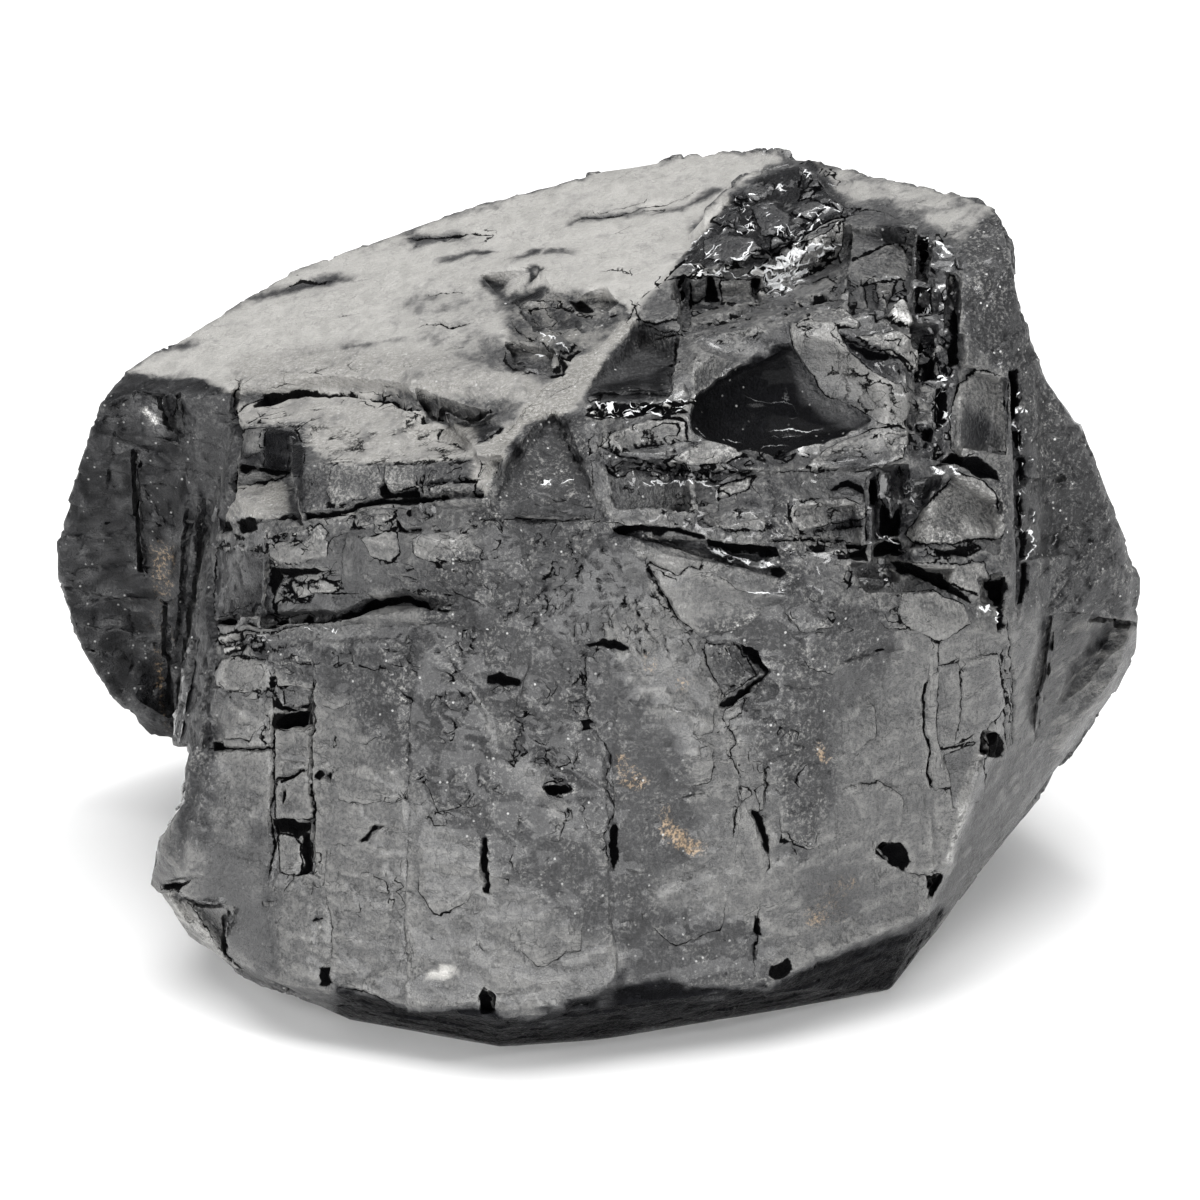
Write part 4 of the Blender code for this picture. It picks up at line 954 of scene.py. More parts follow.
# Painted highlight: the bright streak under the knob, a pale plate with pale splinters and many painted glints.
plate("761,270 767,287 783,285 802,275 837,256 847,238 858,214 843,222 820,236 802,246 778,262", 0.3, -0.3, -1.2,
      rim=0.1, tone=0.62, polish=0.5, small=1.2, middling=0.6)
splinters("762,268 766,296 790,290 838,258 846,236 800,250", 16, 303, size=10, slant=-22, squat=0.3,
          tone=(0.55, 1.0), polish=(0.4, 1.0), lift=0.25)
painted_glints("762,262 760,298 796,292 812,262 844,240 800,246", 54, 304, slant=-22, reach=8.0, high=0.2, painted_glint_share=1.1, dust=0.4)
splinters("690,264 758,267 756,280 692,280", 9, 305, size=9, slant=8, squat=0.5, tone=(0.6, 1.0), polish=(0.2, 0.8))
painted_glints("676,262 758,266 756,282 692,280", 14, 332, slant=10, reach=5.0, painted_glint_share=0.9)
plate("846,214 862,208 884,212 906,224 902,244 870,252 838,266 842,240", 0.1, 0.3, 0.4, rim=0.06, tone=0.44,
      polish=0.15, small=0.25)
region("876,222 904,226 902,246 880,246", soft=6, tone=0.14, small=1.0, grit=0.6)
plate("838,264 870,254 900,246 908,262 904,278 846,288", 0.15, 0.3, -0.6, rim=0.12, tone=0.54, small=0.2)
plate("664,278 678,278 681,297 676,319 659,325 640,317 637,303 651,287", 0.2, -0.3, 0.4, rim=0.14, tone=0.50,
      polish=0.25, small=0.12)
plate("679,274 690,280 690,318 678,322 682,300", -0.2, 1.2, 0.3, rim=0.2, tone=0.3, small=0.7)
plate("690,280 709,277 708,298 692,304", 0.15, -0.6, 0.4, rim=0.15, tone=0.42, small=0.5)
opening_with_painted_shade("710,278 718,279 718,302 704,303", 0.9)
plate("720,282 750,280 747,300 721,304", 0.2, 0.4, 0.5, rim=0.12, tone=0.62, small=0.2)
opening_with_painted_shade("750,280 757,280 760,304 752,303", 0.9)
# Painted highlight: a small cluster of pale, glossy splinters.
splinters("758,284 786,284 790,306 760,308", 6, 306, size=7, tone=(0.1, 1.0), polish=(0.6, 1.0))
plate("688,318 700,312 748,302 756,306 714,320 690,328", 0.15, 0.2, 1.0, rim=0.1, tone=0.64, small=0.2)
opening_with_painted_shade("713,320 748,306 757,308 740,316 716,326", 0.8)
opening_with_painted_shade("768,318 790,303 825,292 827,299 783,312 765,323", 0.8)
plate("790,288 824,276 836,284 830,292 794,303", 0.15, 0.4, 1.0, rim=0.12, tone=0.6, small=0.3)
crack("656,341 690,332 714,324 760,318 792,308 830,298 846,300", 2.6, 0.5, taper=0.1)
crack("640,322 664,334 690,326", 2.0, 0.4)
crack("690,254 668,272 650,290 634,306 625,322", 3.0, 0.4, taper=0.1)
region("582,392 600,366 625,322 655,328 678,332 674,386 640,398 600,400", soft=4, tone=0.30, polish=0.05, small=0.6,
       middling=0.3, grit=0.7)
region("632,340 664,336 668,352 640,358", soft=8, tone=0.48)
region("590,390 630,378 672,366 676,392 620,402 586,402", soft=8, tone=0.1, grit=0.6)
# Painted glints: small splinters that run from dark to near white.
splinters("838,288 864,286 866,312 842,312", 7, 307, size=7, tone=(0.1, 0.9), polish=(0.4, 1.0))
for wedge, tone in (("864,284 876,284 888,316 876,322", 0.08), ("874,284 896,282 892,300 884,310", 0.6),
                    ("890,300 900,290 908,292 906,300", 0.2)):
    plate(wedge, 0.1, 1.6 - 3 * tone, 0.6, rim=0.2, tone=tone, polish=0.6, small=0.5)
# Painted highlight: a near-white glossy facet with painted glints.
plate("888,322 893,308 903,298 911,302 912,318 906,326", 0.5, -1.0, 1.4, rim=0.2, tone=0.9, polish=0.95, small=1.3,
      middling=0.8)
painted_glints("890,320 894,306 904,300 911,304 910,322", 9, 308, slant=-50, reach=4.0, high=0.3, tone=1.0, dust=0.5)

# %% Draw the bowl and its splinters
region("668,388 676,356 700,340 760,326 792,322 800,336 760,346 716,368 690,392 690,430 676,420", soft=8, tone=0.56)
region("740,340 790,326 800,344 770,350", soft=10, tone=0.3)
# Painted light: the bowl's sunlit right wall is a pale plate, with softer darker regions towards the floor.
plate("788,324 812,318 838,326 846,346 876,372 905,389 915,412 904,425 879,421 863,411 828,392 806,368 790,346", 0.2,
      0.5, -0.9, rim=0.04, tone=0.62, polish=0.2, small=0.12, middling=0.0, grit=0.0)
region("792,350 806,350 830,384 868,412 856,418 820,396 800,374", soft=10, tone=0.4)
# Painted shade: the bowl's floor is painted near black, darker than the coal round it, for the dark that the hollow
# mirrors.
bowl("694,399 700,389 726,373 751,357 767,349 783,347 793,348 809,370 828,392 863,411 872,421 860,428 841,438 "
     "825,444 799,448 783,457 751,448 739,451 719,448 700,438 691,427 691,411", 1.4, ripple=0.008, spread=60,
     tone=0.04, polish=0.03, small=0.4, middling=0.1, shell=0.0, grit=0.6)
region("786,352 800,356 830,386 868,414 864,430 830,414 806,392", soft=22, tone=0.42, grit=0.2)
ridge("693,412 694,398 701,389 727,373 751,357", 1.6, 0.15, tone=0.66, polish=0.4)
ridge("783,457 800,449 826,445 842,438 862,428", 1.4, 0.12, tone=0.6, polish=0.4)
# The scratches' crests carry painted glints.
for scratch in ("742,392 760,398 784,398 796,404", "784,386 792,394 795,403", "796,404 812,420 826,432",
                "770,424 790,421 804,427", "806,424 814,434 822,440", "700,428 706,436", "716,424 730,432 748,438",
                "764,443 780,440 792,442", "748,374 752,368", "826,432 828,422"):
    ridge(scratch, 0.8, 0.04, painted_glint_share=0.32)
# Painted shade in a small dark hollow.
region("842,334 860,340 896,346 898,372 872,368 850,350", soft=5, tone=0.1, small=0.8, grit=0.4)
opening_with_painted_shade("846,340 866,348 892,352 890,360 868,358 852,348", 0.4)
plate("856,338 878,332 898,329 912,341 917,357 915,381 898,358 879,346", 0.35, -0.4, 0.8, rim=0.16, tone=0.64,
      polish=0.2, small=0.2)
plate("806,314 826,306 846,308 863,324 861,331 841,326 815,322", 0.25, 0.3, 0.9, rim=0.12, tone=0.64, small=0.2)
crack("838,330 848,340 866,346 892,348 908,366 914,382", 2.6, 0.4, taper=0.1)
region("896,372 916,380 914,424 900,420", soft=5, tone=0.52, small=0.3)
crack("896,372 904,396 916,416", 1.4, 0.2)
opening_with_painted_shade("582,406 600,403 640,402 676,400 686,404 680,410 655,412 620,420 596,416", 0.7)
# Painted glints on the splinters in this black seam.
splinters("584,402 690,396 688,414 620,424 586,418", 18, 309, size=9, slant=2, squat=0.35, tone=(0.05, 1.0),
          polish=(0.5, 1.0))
painted_glints("584,402 690,398 680,412 590,420", 20, 310, slant=5, reach=5.0, high=0.3, dust=0.4)
plate("611,437 633,424 665,417 687,421 689,439 665,443 624,451 611,448", 0.3, -0.2, -0.7, rim=0.18, tone=0.64,
      polish=0.2, small=0.2, middling=0.1)
plate("665,462 688,448 706,442 732,447 748,456 700,465 672,467", 0.25, 0.2, -0.8, rim=0.14, tone=0.62, polish=0.2,
      small=0.2, middling=0.1)
region("600,450 660,458 664,468 720,470 744,462 756,474 700,480 640,476 604,462", soft=5, tone=0.26, polish=0.4,
       small=0.8, grit=0.7)
splinters("596,444 660,452 760,462 756,478 640,480 600,464", 16, 311, size=12, slant=6, squat=0.28,
          tone=(0.2, 0.68), polish=(0.1, 0.7))
crack("596,444 624,456 660,468 700,474 742,468", 2.0, 0.4, taper=0.1)
plate("806,468 820,454 847,440 879,427 908,424 910,437 902,460 879,470 841,472", 0.3, 0.1, 1.3, rim=0.12, tone=0.6,
      polish=0.2, small=0.15, middling=0.0)
region("826,466 850,460 880,452 896,456 886,466 856,472", soft=9, tone=0.16)
crack("776,474 800,472 842,472 880,474 906,464", 1.8, 0.3, taper=0.1)
splinters("752,444 800,450 812,470 776,474 750,462", 9, 312, size=8, slant=-15, squat=0.4, tone=(0.1, 0.7))
# Painted glints.
painted_glints("640,478 720,480 716,488 644,486", 16, 313, slant=4, reach=6.0, high=0.2, dust=0.2)
plate("719,483 739,478 757,476 750,488 719,498", 0.15, 0.3, 0.6, rim=0.2, tone=0.64, small=0.2)
opening_with_painted_shade("826,488 847,482 864,488 867,496 847,490 830,491", 0.4)
region("836,478 866,482 868,500 846,496", soft=6, tone=0.26, small=0.8)
plate("790,505 812,498 847,499 866,508 868,520 834,524 800,530 788,520", 0.25, 0.3, 0.9, rim=0.1, tone=0.62,
      polish=0.15, small=0.15, middling=0.05)
region("824,524 860,514 868,526 838,532", soft=6, tone=0.2)
crack("800,534 830,530 868,526", 1.8, 0.3, taper=0.1)
crack("770,544 800,541 850,541", 2.4, 0.4, taper=0.1)
for line in ("640,500 680,506 720,503 760,508", "690,500 730,494 764,496", "700,516 740,512 768,514",
             "634,514 660,510 700,498", "720,528 750,534 768,532", "760,474 776,500 774,520 780,556"):
    crack(line, 1.1, 0.15, crack_shade=0.7)
plate("704,514 740,511 764,514 768,530 730,532 706,522", 0.1, 0.3, 0.5, rim=0.06, tone=0.6, small=0.25)
region("770,480 790,500 786,540 800,590 780,600 766,560 772,520", soft=6, tone=0.4, grit=1.0, small=0.9)
splinters("812,544 850,544 848,560 814,562", 5, 314, size=9, tone=(0.3, 0.7), polish=(0.1, 0.5))

for layered, count, seed, slant in (("600,482 760,492 764,530 700,530 620,516", 22, 360, 6), ("776,486 866,498 866,534 780,556", 10,
                                    361, 4), ("596,424 690,440 740,458 690,476 600,460", 12, 362, 10),
                                    ("690,322 800,300 836,292 840,310 800,322 700,342", 9, 363, -14),
                                    ("676,392 682,360 706,340 770,330 740,352 700,376", 12, 364, -42),
                                    ("800,330 860,350 900,400 900,420 860,400", 7, 365, 42),
                                    ("806,468 905,428 904,450 850,474", 8, 366, -14)):
    strata(layered, 2 * count, seed, slant)

# %% Draw the upright seams on the right
region("1006,366 1024,362 1034,440 1036,560 1030,610 1014,600 1014,470 1006,430", soft=5, tone=0.14, grit=0.4, polish=0.3)
SEAM_BAND = "908,222 950,240 964,300 960,370 950,400 946,460 912,462 916,400 914,330"
region(SEAM_BAND, soft=4, tone=0.3, polish=0.6, small=1.0, middling=0.8, shell=0.3, grit=0.3)
splinters(SEAM_BAND, 46, 320, size=9, slant=80, squat=0.55, tone=(0.04, 0.75), polish=(0.2, 1.0), lift=0.3)
for slot, deep in (("914,234 926,232 926,262 916,262", 0.9), ("914,284 932,281 934,312 916,316", 0.8),
                   ("919,356 934,354 935,382 920,383", 1.2), ("934,392 947,390 946,426 935,430", 0.9),
                   ("950,294 956,300 960,340 958,364 950,366 952,330", 1.0), ("922,428 934,428 932,444 920,442", 0.8),
                   ("1008,370 1016,366 1018,400 1012,420 1006,410", 1.0), ("1016,458 1026,456 1030,482 1018,488", 1.1),
                   ("1014,496 1024,494 1022,526 1016,530", 1.0), ("1018,534 1028,530 1026,556 1018,558", 0.9), ("1010,430 1022,428 1022,446 1012,448", 0.8), ("1020,562 1028,560 1026,596 1018,606",
                   0.8)):
    opening_with_painted_shade(slot, deep)
plate("920,334 934,334 934,350 921,350", 0.1, 1.0, 0.4, rim=0.12, tone=0.2, polish=0.9)
splinters("934,304 950,304 950,348 936,350", 6, 321, size=7, tone=(0.3, 0.8), polish=(0.4, 1.0))
# Painted glints in the upright seams.
painted_glints("916,286 932,283 932,312 918,314", 7, 322, slant=60, reach=5, high=0.3, tone=0.6)
painted_glints("936,394 946,392 946,426 937,428", 7, 323, slant=80, reach=4, high=0.3)
painted_glints("934,376 948,374 946,388 936,390", 6, 324, slant=0, reach=3.5, high=0.3, dust=0.4)
painted_glints("916,232 952,240 954,262 918,262", 12, 325, slant=30, reach=3.5, high=0.3, dust=0.3)
painted_glints("1010,372 1026,400 1030,460 1034,560 1020,560 1014,440", 30, 326, slant=80, reach=3.0, high=0.35, dust=0.3)
plate("916,386 932,386 932,426 916,424", 0.1, -0.6, 0.2, rim=0.08, tone=0.54, small=0.3)
plate("956,388 974,368 1000,374 1004,400 1004,452 985,448 960,458 950,452 948,420", 0.15, -0.4, -0.4, rim=0.1,
      tone=0.6, polish=0.12, small=0.25, middling=0.1)
region("960,414 986,418 998,440 976,448 956,436", soft=12, tone=0.22)
region("868,474 930,466 930,494 906,536 868,542", soft=4, tone=0.12, polish=0.5, small=0.6)
opening_with_painted_shade("867,478 879,474 879,540 867,542", 1.3)
opening_with_painted_shade("880,500 892,520 904,500 898,538 882,540", 1.2)
plate("882,478 904,472 902,500 890,516 881,500", 0.0, 1.0, 0.3, rim=0.1, tone=0.22, polish=0.7, small=0.3)
# Painted glints: a stack of short bright lines.
for k in range(8):
    ridge(f"{904 + k % 2},{478 + 5 * k} {912 - k % 2},{476 + 5 * k} {920 - 2 * k // 3},{479 + 5 * k}", 0.9, 0.25, painted_glint_share=0.35,
          polish=0.9)
opening_with_painted_shade("846,542 868,546 900,540 902,556 870,562 848,560", 1.0)
# Painted glints at the black slot and on the dark plate below it.
painted_glints("850,538 900,538 900,546 850,546", 7, 327, slant=0, reach=5, high=0.3)
plate("848,572 868,566 892,566 890,586 872,590 858,584", 0.2, -0.4, 1.2, rim=0.12, tone=0.2, polish=0.8, small=1.2)
painted_glints("874,564 892,566 888,584 876,580", 9, 328, slant=60, reach=4, high=0.3, dust=0.5)
plate("904,536 930,501 955,471 981,478 998,498 1004,526 1002,540 959,543 911,543", 0.25, 0.2, 0.5, rim=0.14,
      tone=0.64, polish=0.1, small=0.15, middling=0.05)
region("990,470 1012,462 1012,560 1002,560 1004,520", soft=5, tone=0.44, grit=0.9)
opening_with_painted_shade("928,464 949,457 971,455 992,466 1002,480 980,476 955,464", 0.9)
# Painted glints.
painted_glints("926,466 956,462 956,474 930,472", 8, 329, slant=-10, reach=4.5, high=0.3)
splinters("896,544 990,546 988,562 900,562", 12, 330, size=11, slant=2, squat=0.3, tone=(0.1, 0.66))
opening_with_painted_shade("934,549 970,549 970,556 936,556", 0.5)
plate("896,564 984,562 990,578 976,594 950,582 920,572", 0.15, 0.3, 0.7, rim=0.1, tone=0.6, small=0.2)
opening_with_painted_shade("892,563 917,567 943,577 973,596 975,603 943,589 911,578 893,574", 0.9)
region("900,576 944,590 972,606 960,612 920,596", soft=6, tone=0.3)
opening_with_painted_shade("984,580 1006,578 1010,590 1003,604 976,600 984,590", 1.2)
opening_with_painted_shade("1000,600 1008,598 1008,626 1001,630", 1.0)
# Painted glints.
painted_glints("976,600 1006,604 1000,624 984,616", 7, 331, slant=30, reach=4, high=0.3)
plate("898,594 930,590 964,604 972,622 940,640 900,622", 0.1, 0.1, 0.4, rim=0.06, tone=0.58, small=0.2, middling=0.1)
region("962,246 1000,206 1010,260 1028,330 1048,380 1084,430 1110,480 1140,560 1142,610 1060,620 1034,600 1040,520 "
       "1020,400 1006,372 974,340 966,300", soft=10, tone=0.36, polish=0.15, small=1.1, middling=0.6, large=0.4,
       dust=0.0, grit=1.0)
region("968,230 1004,214 1020,290 1000,330 972,320", soft=10, tone=0.42, small=1.0)
region("1040,560 1120,540 1142,600 1060,640", soft=60, tone=0.44, small=0.5, grit=0.7)
smudges("1000,260 1030,340 1060,400 1110,470 1136,560 1130,640 1060,700 1036,600 1040,480 1010,380", 200, 393,
        size=7.0, slant=70, squat=0.5, tone=(0.04, 0.56), small=(0.4, 1.4))
crack("1010,620 1014,680 1012,740", 2.4, 0.4, taper=0.1)
region("1036,380 1060,410 1100,480 1130,560 1132,640 1106,700 1060,752 1020,720 1040,640 1044,560 1040,460", soft=10,
       ease=1.0)

# %% Draw the lobe on the far left
# The lobe's low tone is partly its own dull coal and partly painted shade for a side that is turned down and away from
# the light.
region("100,398 128,372 205,380 237,392 236,440 233,495 211,540 208,573 214,640 200,690 190,748 150,735 106,700 "
       "70,640 52,580 52,540 70,480", soft=5, tone=0.16, polish=0.12, small=0.7, middling=0.45, large=0.4, dust=0.0,
       grit=0.5)
region("186,392 236,396 233,495 206,540 190,500", soft=8, tone=0.3)
region("155,652 163,652 166,700 169,738 160,720", soft=8, rust=0.56)
region("150,540 172,550 172,650 156,650", soft=20, rust=0.2, tone=0.4)
# A painted highlight: a small glossy patch of higher tone.
region("143,410 163,410 165,432 145,430", soft=8, tone=0.4, polish=0.5)
region("104,410 130,395 180,400 196,420 200,560 200,690 186,738 150,728 108,694 74,636 60,580 62,540 80,480",
       soft=12, ease=1.0)
smudges("100,405 190,400 200,480 200,640 186,736 150,728 104,694 70,636 56,570 60,530 80,470", 190, 394, size=9.0,
        slant=86, squat=0.45, soft=7.0, tone=(0.0, 0.42), middling=(0.2, 1.0), grit=(0.2, 0.8))
smudges("196,396 236,400 232,500 208,540 192,500", 26, 395, size=10.0, slant=88, squat=0.3, soft=5.0, tone=(0.16, 0.5))
# A painted highlight: a near-white lip.
ridge("140,412 150,418 160,424", 5.0, 0.3, tone=0.95, polish=0.6)
for groove in ("118,412 112,470 104,520", "172,480 171,560 164,600", "130,600 134,660 140,700"):
    crack(groove, 2.4, 0.25, crack_shade=0.0)
print("drawn in all; deepest mark", round(float(layers["height"].min()), 2), "mm")

# %% [markdown]
# ## From the drawing to the skin
# Each point of the skin now gets one height. Where the eye point sees it, that is the drawn height plus the
# three sizes of block, each as strong as the drawing says there. Elsewhere the blocks come alone, with
# smooth and broken areas, dull and glossy bands along the bedding, and upright cleats, so that the back is
# made of the same coal as the front.


# %% Read the sheet at the points
def at(name, x, y):
    """A layer's value between the four nearest places of the sheet, weighted by nearness."""
    x, y = np.clip(x, 0, SHEET - 1.001), np.clip(y, 0, SHEET - 1.001)
    column, row = x.astype(int), y.astype(int)
    s, t = x - column, y - row
    layer = layers[name]
    top = layer[row, column] * (1 - s) + layer[row, column + 1] * s
    low = layer[row + 1, column] * (1 - s) + layer[row + 1, column + 1] * s
    return top * (1 - t) + low * t


def beyond(places, gone):
    """What the far sides have in place of the drawing, from noise and from bands across the bedding."""
    broken = smooth(swell(gone, 16.0, 41, 2), -0.35, 0.45)
    band = smooth(swell(gone * np.array((0.12, 0.12, 1.0), dtype=np.float32), 2.2, 42, 2), 0.05, 0.3)
    film = smooth(swell(gone, (14.0, 10.0, 5.0), 43, 3), 0.1, 0.6)
    return {
        "height": 0.0,
        "tone": 0.34 + 0.16 * (1 - band) * (1 - broken) + 0.1 * film,
        "polish": 0.12 + 0.75 * band * (0.4 + 0.6 * broken),
        "gap": -10.0,
        "seam_shade": 20.0,
        "seam_shade_near": 0.0,
        "seam_shade_wide": 0.0,
        "painted_glint": 20.0,
        "painted_glint_near": 0.0,
        "painted_glint_wide": 0.0,
        "dust": 0.25 * film * (1 - band),
        "rust": 0.0,
        "large": 0.25 + 0.75 * broken,
        "middling": 0.2 + 0.8 * broken,
        "small": 0.3 + 0.6 * np.maximum(broken, band),
        "shell": 0.7 * band * broken,
        "grit": 0.15 + 0.7 * broken * (1 - band),
        "ease": 0.0,
    }


def mixed(places, gone, share):
    """Every layer at the points: the sheet's by the share that is seen, and the far sides' by the rest."""
    x, y, _ = on_sheet(places)
    far = beyond(places, gone)
    return {name: at(name, x, y) * share + far[name] * (1 - share) for name in layers}


# %% Cleats on the far sides
def cleats(gone, seed):
    """Upright cracks: the borders of tall narrow cells, kept only where noise says so; 1 in the crack."""
    _, border, own = blocks(gone, (7.5, 6.0, 30.0), seed, tilt=0.0, jump=0.0)
    kept = smooth(swell(gone, (9.0, 9.0, 14.0), seed + 1, 2), -0.1, 0.35)
    return smooth(border, 0.055, 0.0) * kept


def smoothed_depth(share, cell=5, reach=7.0):
    """How far each point must go along its line of sight to lie on a smooth skin: the depths of the seen
    points, averaged by a bell over the sheet inside the eased regions only, less the point's own depth."""
    x, y, depth = on_sheet(points)
    across = SHEET // cell
    column, row = (np.clip(v / cell, 0, across - 1).astype(int) for v in (x, y))
    box = row * across + column
    use_it = share > 0.5
    count = np.bincount(box[use_it], minlength=across**2).reshape(across, across)
    total = np.bincount(box[use_it], depth[use_it], minlength=across**2).reshape(across, across)
    eased = np.add.reduceat(np.add.reduceat(layers["ease"], range(0, SHEET, cell), 0), range(0, SHEET, cell), 1)
    inside = (eased / cell**2 > 0.3) & (count > 0)
    mean = np.where(inside, total / np.maximum(count, 1), 0.0)
    step = np.arange(across)
    bell = np.exp(-(((step[:, None] - step) / reach) ** 2))
    filled = (bell @ mean @ bell) / np.maximum(bell @ inside.astype(float) @ bell, 1e-6)
    s = np.clip(x / cell - 0.5, 0, across - 1.001)
    t = np.clip(y / cell - 0.5, 0, across - 1.001)
    i, j, u, v = s.astype(int), t.astype(int), s % 1, t % 1
    smooth_depth = ((filled[j, i] * (1 - u) + filled[j, i + 1] * u) * (1 - v)
                    + (filled[j + 1, i] * (1 - u) + filled[j + 1, i + 1] * u) * v)
    return np.clip(smooth_depth - depth, -1.6, 1.6)


marks = mixed(points, folded, seen)
sight = (points - EYE) / np.linalg.norm(points - EYE, axis=1, keepdims=True)
ease = marks["ease"] * np.clip(seen * 2 - 0.6, 0, 1)
eased_points = points + sight * (smoothed_depth(seen) * ease)[:, None]
print("easing moves points by up to", round(float(np.abs(eased_points - points).max()), 2), "mm")

# %% Add up the relief
relief = marks["height"] * np.clip(seen * 1.5, 0, 1)
relief += 0.42 * marks["large"] * (large[0] - 0.9 * smooth(large[1], 0.10, 0.0))
relief += 0.15 * marks["middling"] * (middling[0] - 1.1 * smooth(middling[1], 0.07, 0.0))
relief += marks["shell"] * (0.9 * scallops + 0.35 * facets)
relief += 0.16 * marks["small"] * chips
relief += 0.10 * np.minimum(marks["small"] * 2, 1) * swell(bedded, (4.0, 4.0, 2.0), 62, 2)
relief -= 0.55 * cleats(folded, 51) * (1 - seen)
print("relief runs from", round(float(relief.min()), 2), "to", round(float(relief.max()), 2), "mm")

# %% Move the points
low_mm, high_mm = np.array(cad_low) / MM, np.array(cad_high) / MM
foot = smooth(points[:, 2], 0.3, 2.0)[:, None]
raised = eased_points + facing * (relief[:, None] * np.maximum(foot, 0.05))
raised = np.clip(raised, low_mm, high_mm).astype(np.float32)
even.vertices.foreach_set("co", raised.ravel())
for name, values in (("rest", points), ("drawn", np.repeat(seen[:, None], 3, axis=1))):
    even.attributes.new(name, "FLOAT_VECTOR", "POINT").data.foreach_set("vector", values.astype(np.float32).ravel())
even.update()

# %% [markdown]
# ## Fewer triangles where they don't show
# The even skin has over a million triangles. Decimate's collapse takes first the edges that cost the
# least shape, so flat facets give up their points and cracks keep them. It runs twice: first over what the
# sheet doesn't cover, and then over what it does, so that each part gets its own share of the triangles.

# %% Thin the far sides, then the drawn side
FAR_TRIANGLES = 50_000
DRAWN_TRIANGLES = 142_000


def count_triangles(mesh):
    """Triangles in a mesh: a face of n corners makes n - 2."""
    return len(mesh.loops) - 2 * len(mesh.polygons)


def thinned(mesh, group, leave):
    """Decimates the picked points' part of a mesh until only so many triangles are left in all."""
    return applied(mesh, "DECIMATE", decimate_type="COLLAPSE", ratio=leave / count_triangles(mesh), group=group,
                   vertex_group_factor=0.0)


def drawn_points(mesh):
    """Points whose carried 'drawn' value says that the sheet covers them."""
    return read(mesh.attributes["drawn"].data, "vector", 3)[:, 0] > 0.3


even_count = count_triangles(even)
face_start = np.empty(len(even.polygons) * 4, dtype=np.int32)
even.polygons.foreach_get("vertices", face_start)
drawn_share = float(drawn_points(even)[face_start.reshape(-1, 4)].any(axis=1).mean())
thin = thinned(even, ~drawn_points(even), int(even_count * drawn_share) + FAR_TRIANGLES)
print("far sides thinned:", even_count, "->", count_triangles(thin), "triangles")
thin = thinned(thin, drawn_points(thin), FAR_TRIANGLES + DRAWN_TRIANGLES)
print("drawn side thinned:", count_triangles(thin), "triangles")

# %% [markdown]
# ## The finish's own numbers
# Colour and gloss change over the lump, so each point carries its own values for them as attributes. They
# are read from the sheet again here, at the place where each point lay before it was moved, because after
# the thinning there are fewer points and each one should have the exact value of its place.

# %% Give the points their values and make the piece
rest = read(thin.attributes["rest"].data, "vector", 3)
covered = np.clip(read(thin.attributes["drawn"].data, "vector", 3)[:, 0], 0, 1)
rest_bedded = np.stack((rest @ RIGHT, rest @ ALONG_DIP, rest @ ACROSS_BEDDING), axis=1).astype(np.float32)
rest_fold = np.stack([swell(rest_bedded, 6.0, seed, 3) for seed in (11, 12, 13)], axis=1)
rest_folded = rest_bedded + rest_fold * np.array((0.9, 0.9, 0.35), dtype=np.float32)
finish = mixed(rest, rest_folded, covered)
_, border_middling, own_middling = blocks(rest_folded, (3.2, 2.8, 1.1), 22)
_, border_small, own_small = blocks(rest_folded, (1.15, 1.0, 0.5), 23)
split = smooth(swell(rest_folded, 5.0, 71, 2), -0.05, 0.3)
# Painted shade: cleats on the far sides and the borders of some blocks are painted black like the drawn gaps.
far_gap = 12 * cleats(rest_folded, 51) * (1 - covered) - 6
own_gap = 12 * smooth(border_middling, 0.06, 0.0) * split * finish["middling"] - 6
finish["gap"] = np.maximum(finish["gap"], np.maximum(far_gap, own_gap))
finish["tone"] += 0.10 * (chance(own_middling, 9) - 0.5) * finish["middling"]
finish["tone"] += 0.14 * (chance(own_small, 9) - 0.5) * finish["small"]
finish["polish"] += 0.5 * (chance(own_small, 10) - 0.5) * finish["small"] * finish["polish"]

thin_points = read(thin.vertices, "co", 3)
thin_edges = np.empty(len(thin.edges) * 2, dtype=np.int32)
thin.edges.foreach_get("vertices", thin_edges)
thin_edges = thin_edges.reshape(-1, 2)
level = averaged(thin_points, thin_edges, 2)
bulge = ((thin_points - level) * read(thin.vertices, "normal", 3)).sum(1)
# Painted highlight: convex edges get a higher tone, standing in for the light that catches them.
finish["edge"] = smooth(bulge, 0.01, 0.09)

thin_points = np.clip(thin_points, low_mm, high_mm)
thin.vertices.foreach_set("co", (thin_points * MM).ravel())
for name in ("rest", "drawn"):
    thin.attributes.remove(thin.attributes[name])
LIMITS = {"tone": (0, 1), "polish": (0, 1), "dust": (0, 1), "rust": (0, 1), "edge": (0, 1), "grit": (0, 1), "gap": (-10, 10),
          "seam_shade": (-10, 10), "seam_shade_near": (0, 1), "seam_shade_wide": (0, 10), "painted_glint": (-10, 10), "painted_glint_near": (0, 1),
          "painted_glint_wide": (0, 10)}
for name, limits in LIMITS.items():
    values = np.clip(finish[name], *limits).astype(np.float32)
    thin.attributes.new(name, "FLOAT", "POINT").data.foreach_set("value", values)
    print(f"{name}: mean {values.mean():.2f}, most {values.max():.2f}")
thin.name = "coal_skin"
thin.shade_smooth()
thin.set_sharp_from_angle(angle=math.radians(34))

coal_skin = bpy.data.objects.new("coal_skin", thin)
bpy.context.collection.objects.link(coal_skin)
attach(coal_skin, "root")
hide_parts("coal_lump")
print("coal_skin:", len(thin.vertices), "points,", count_triangles(thin), "triangles")

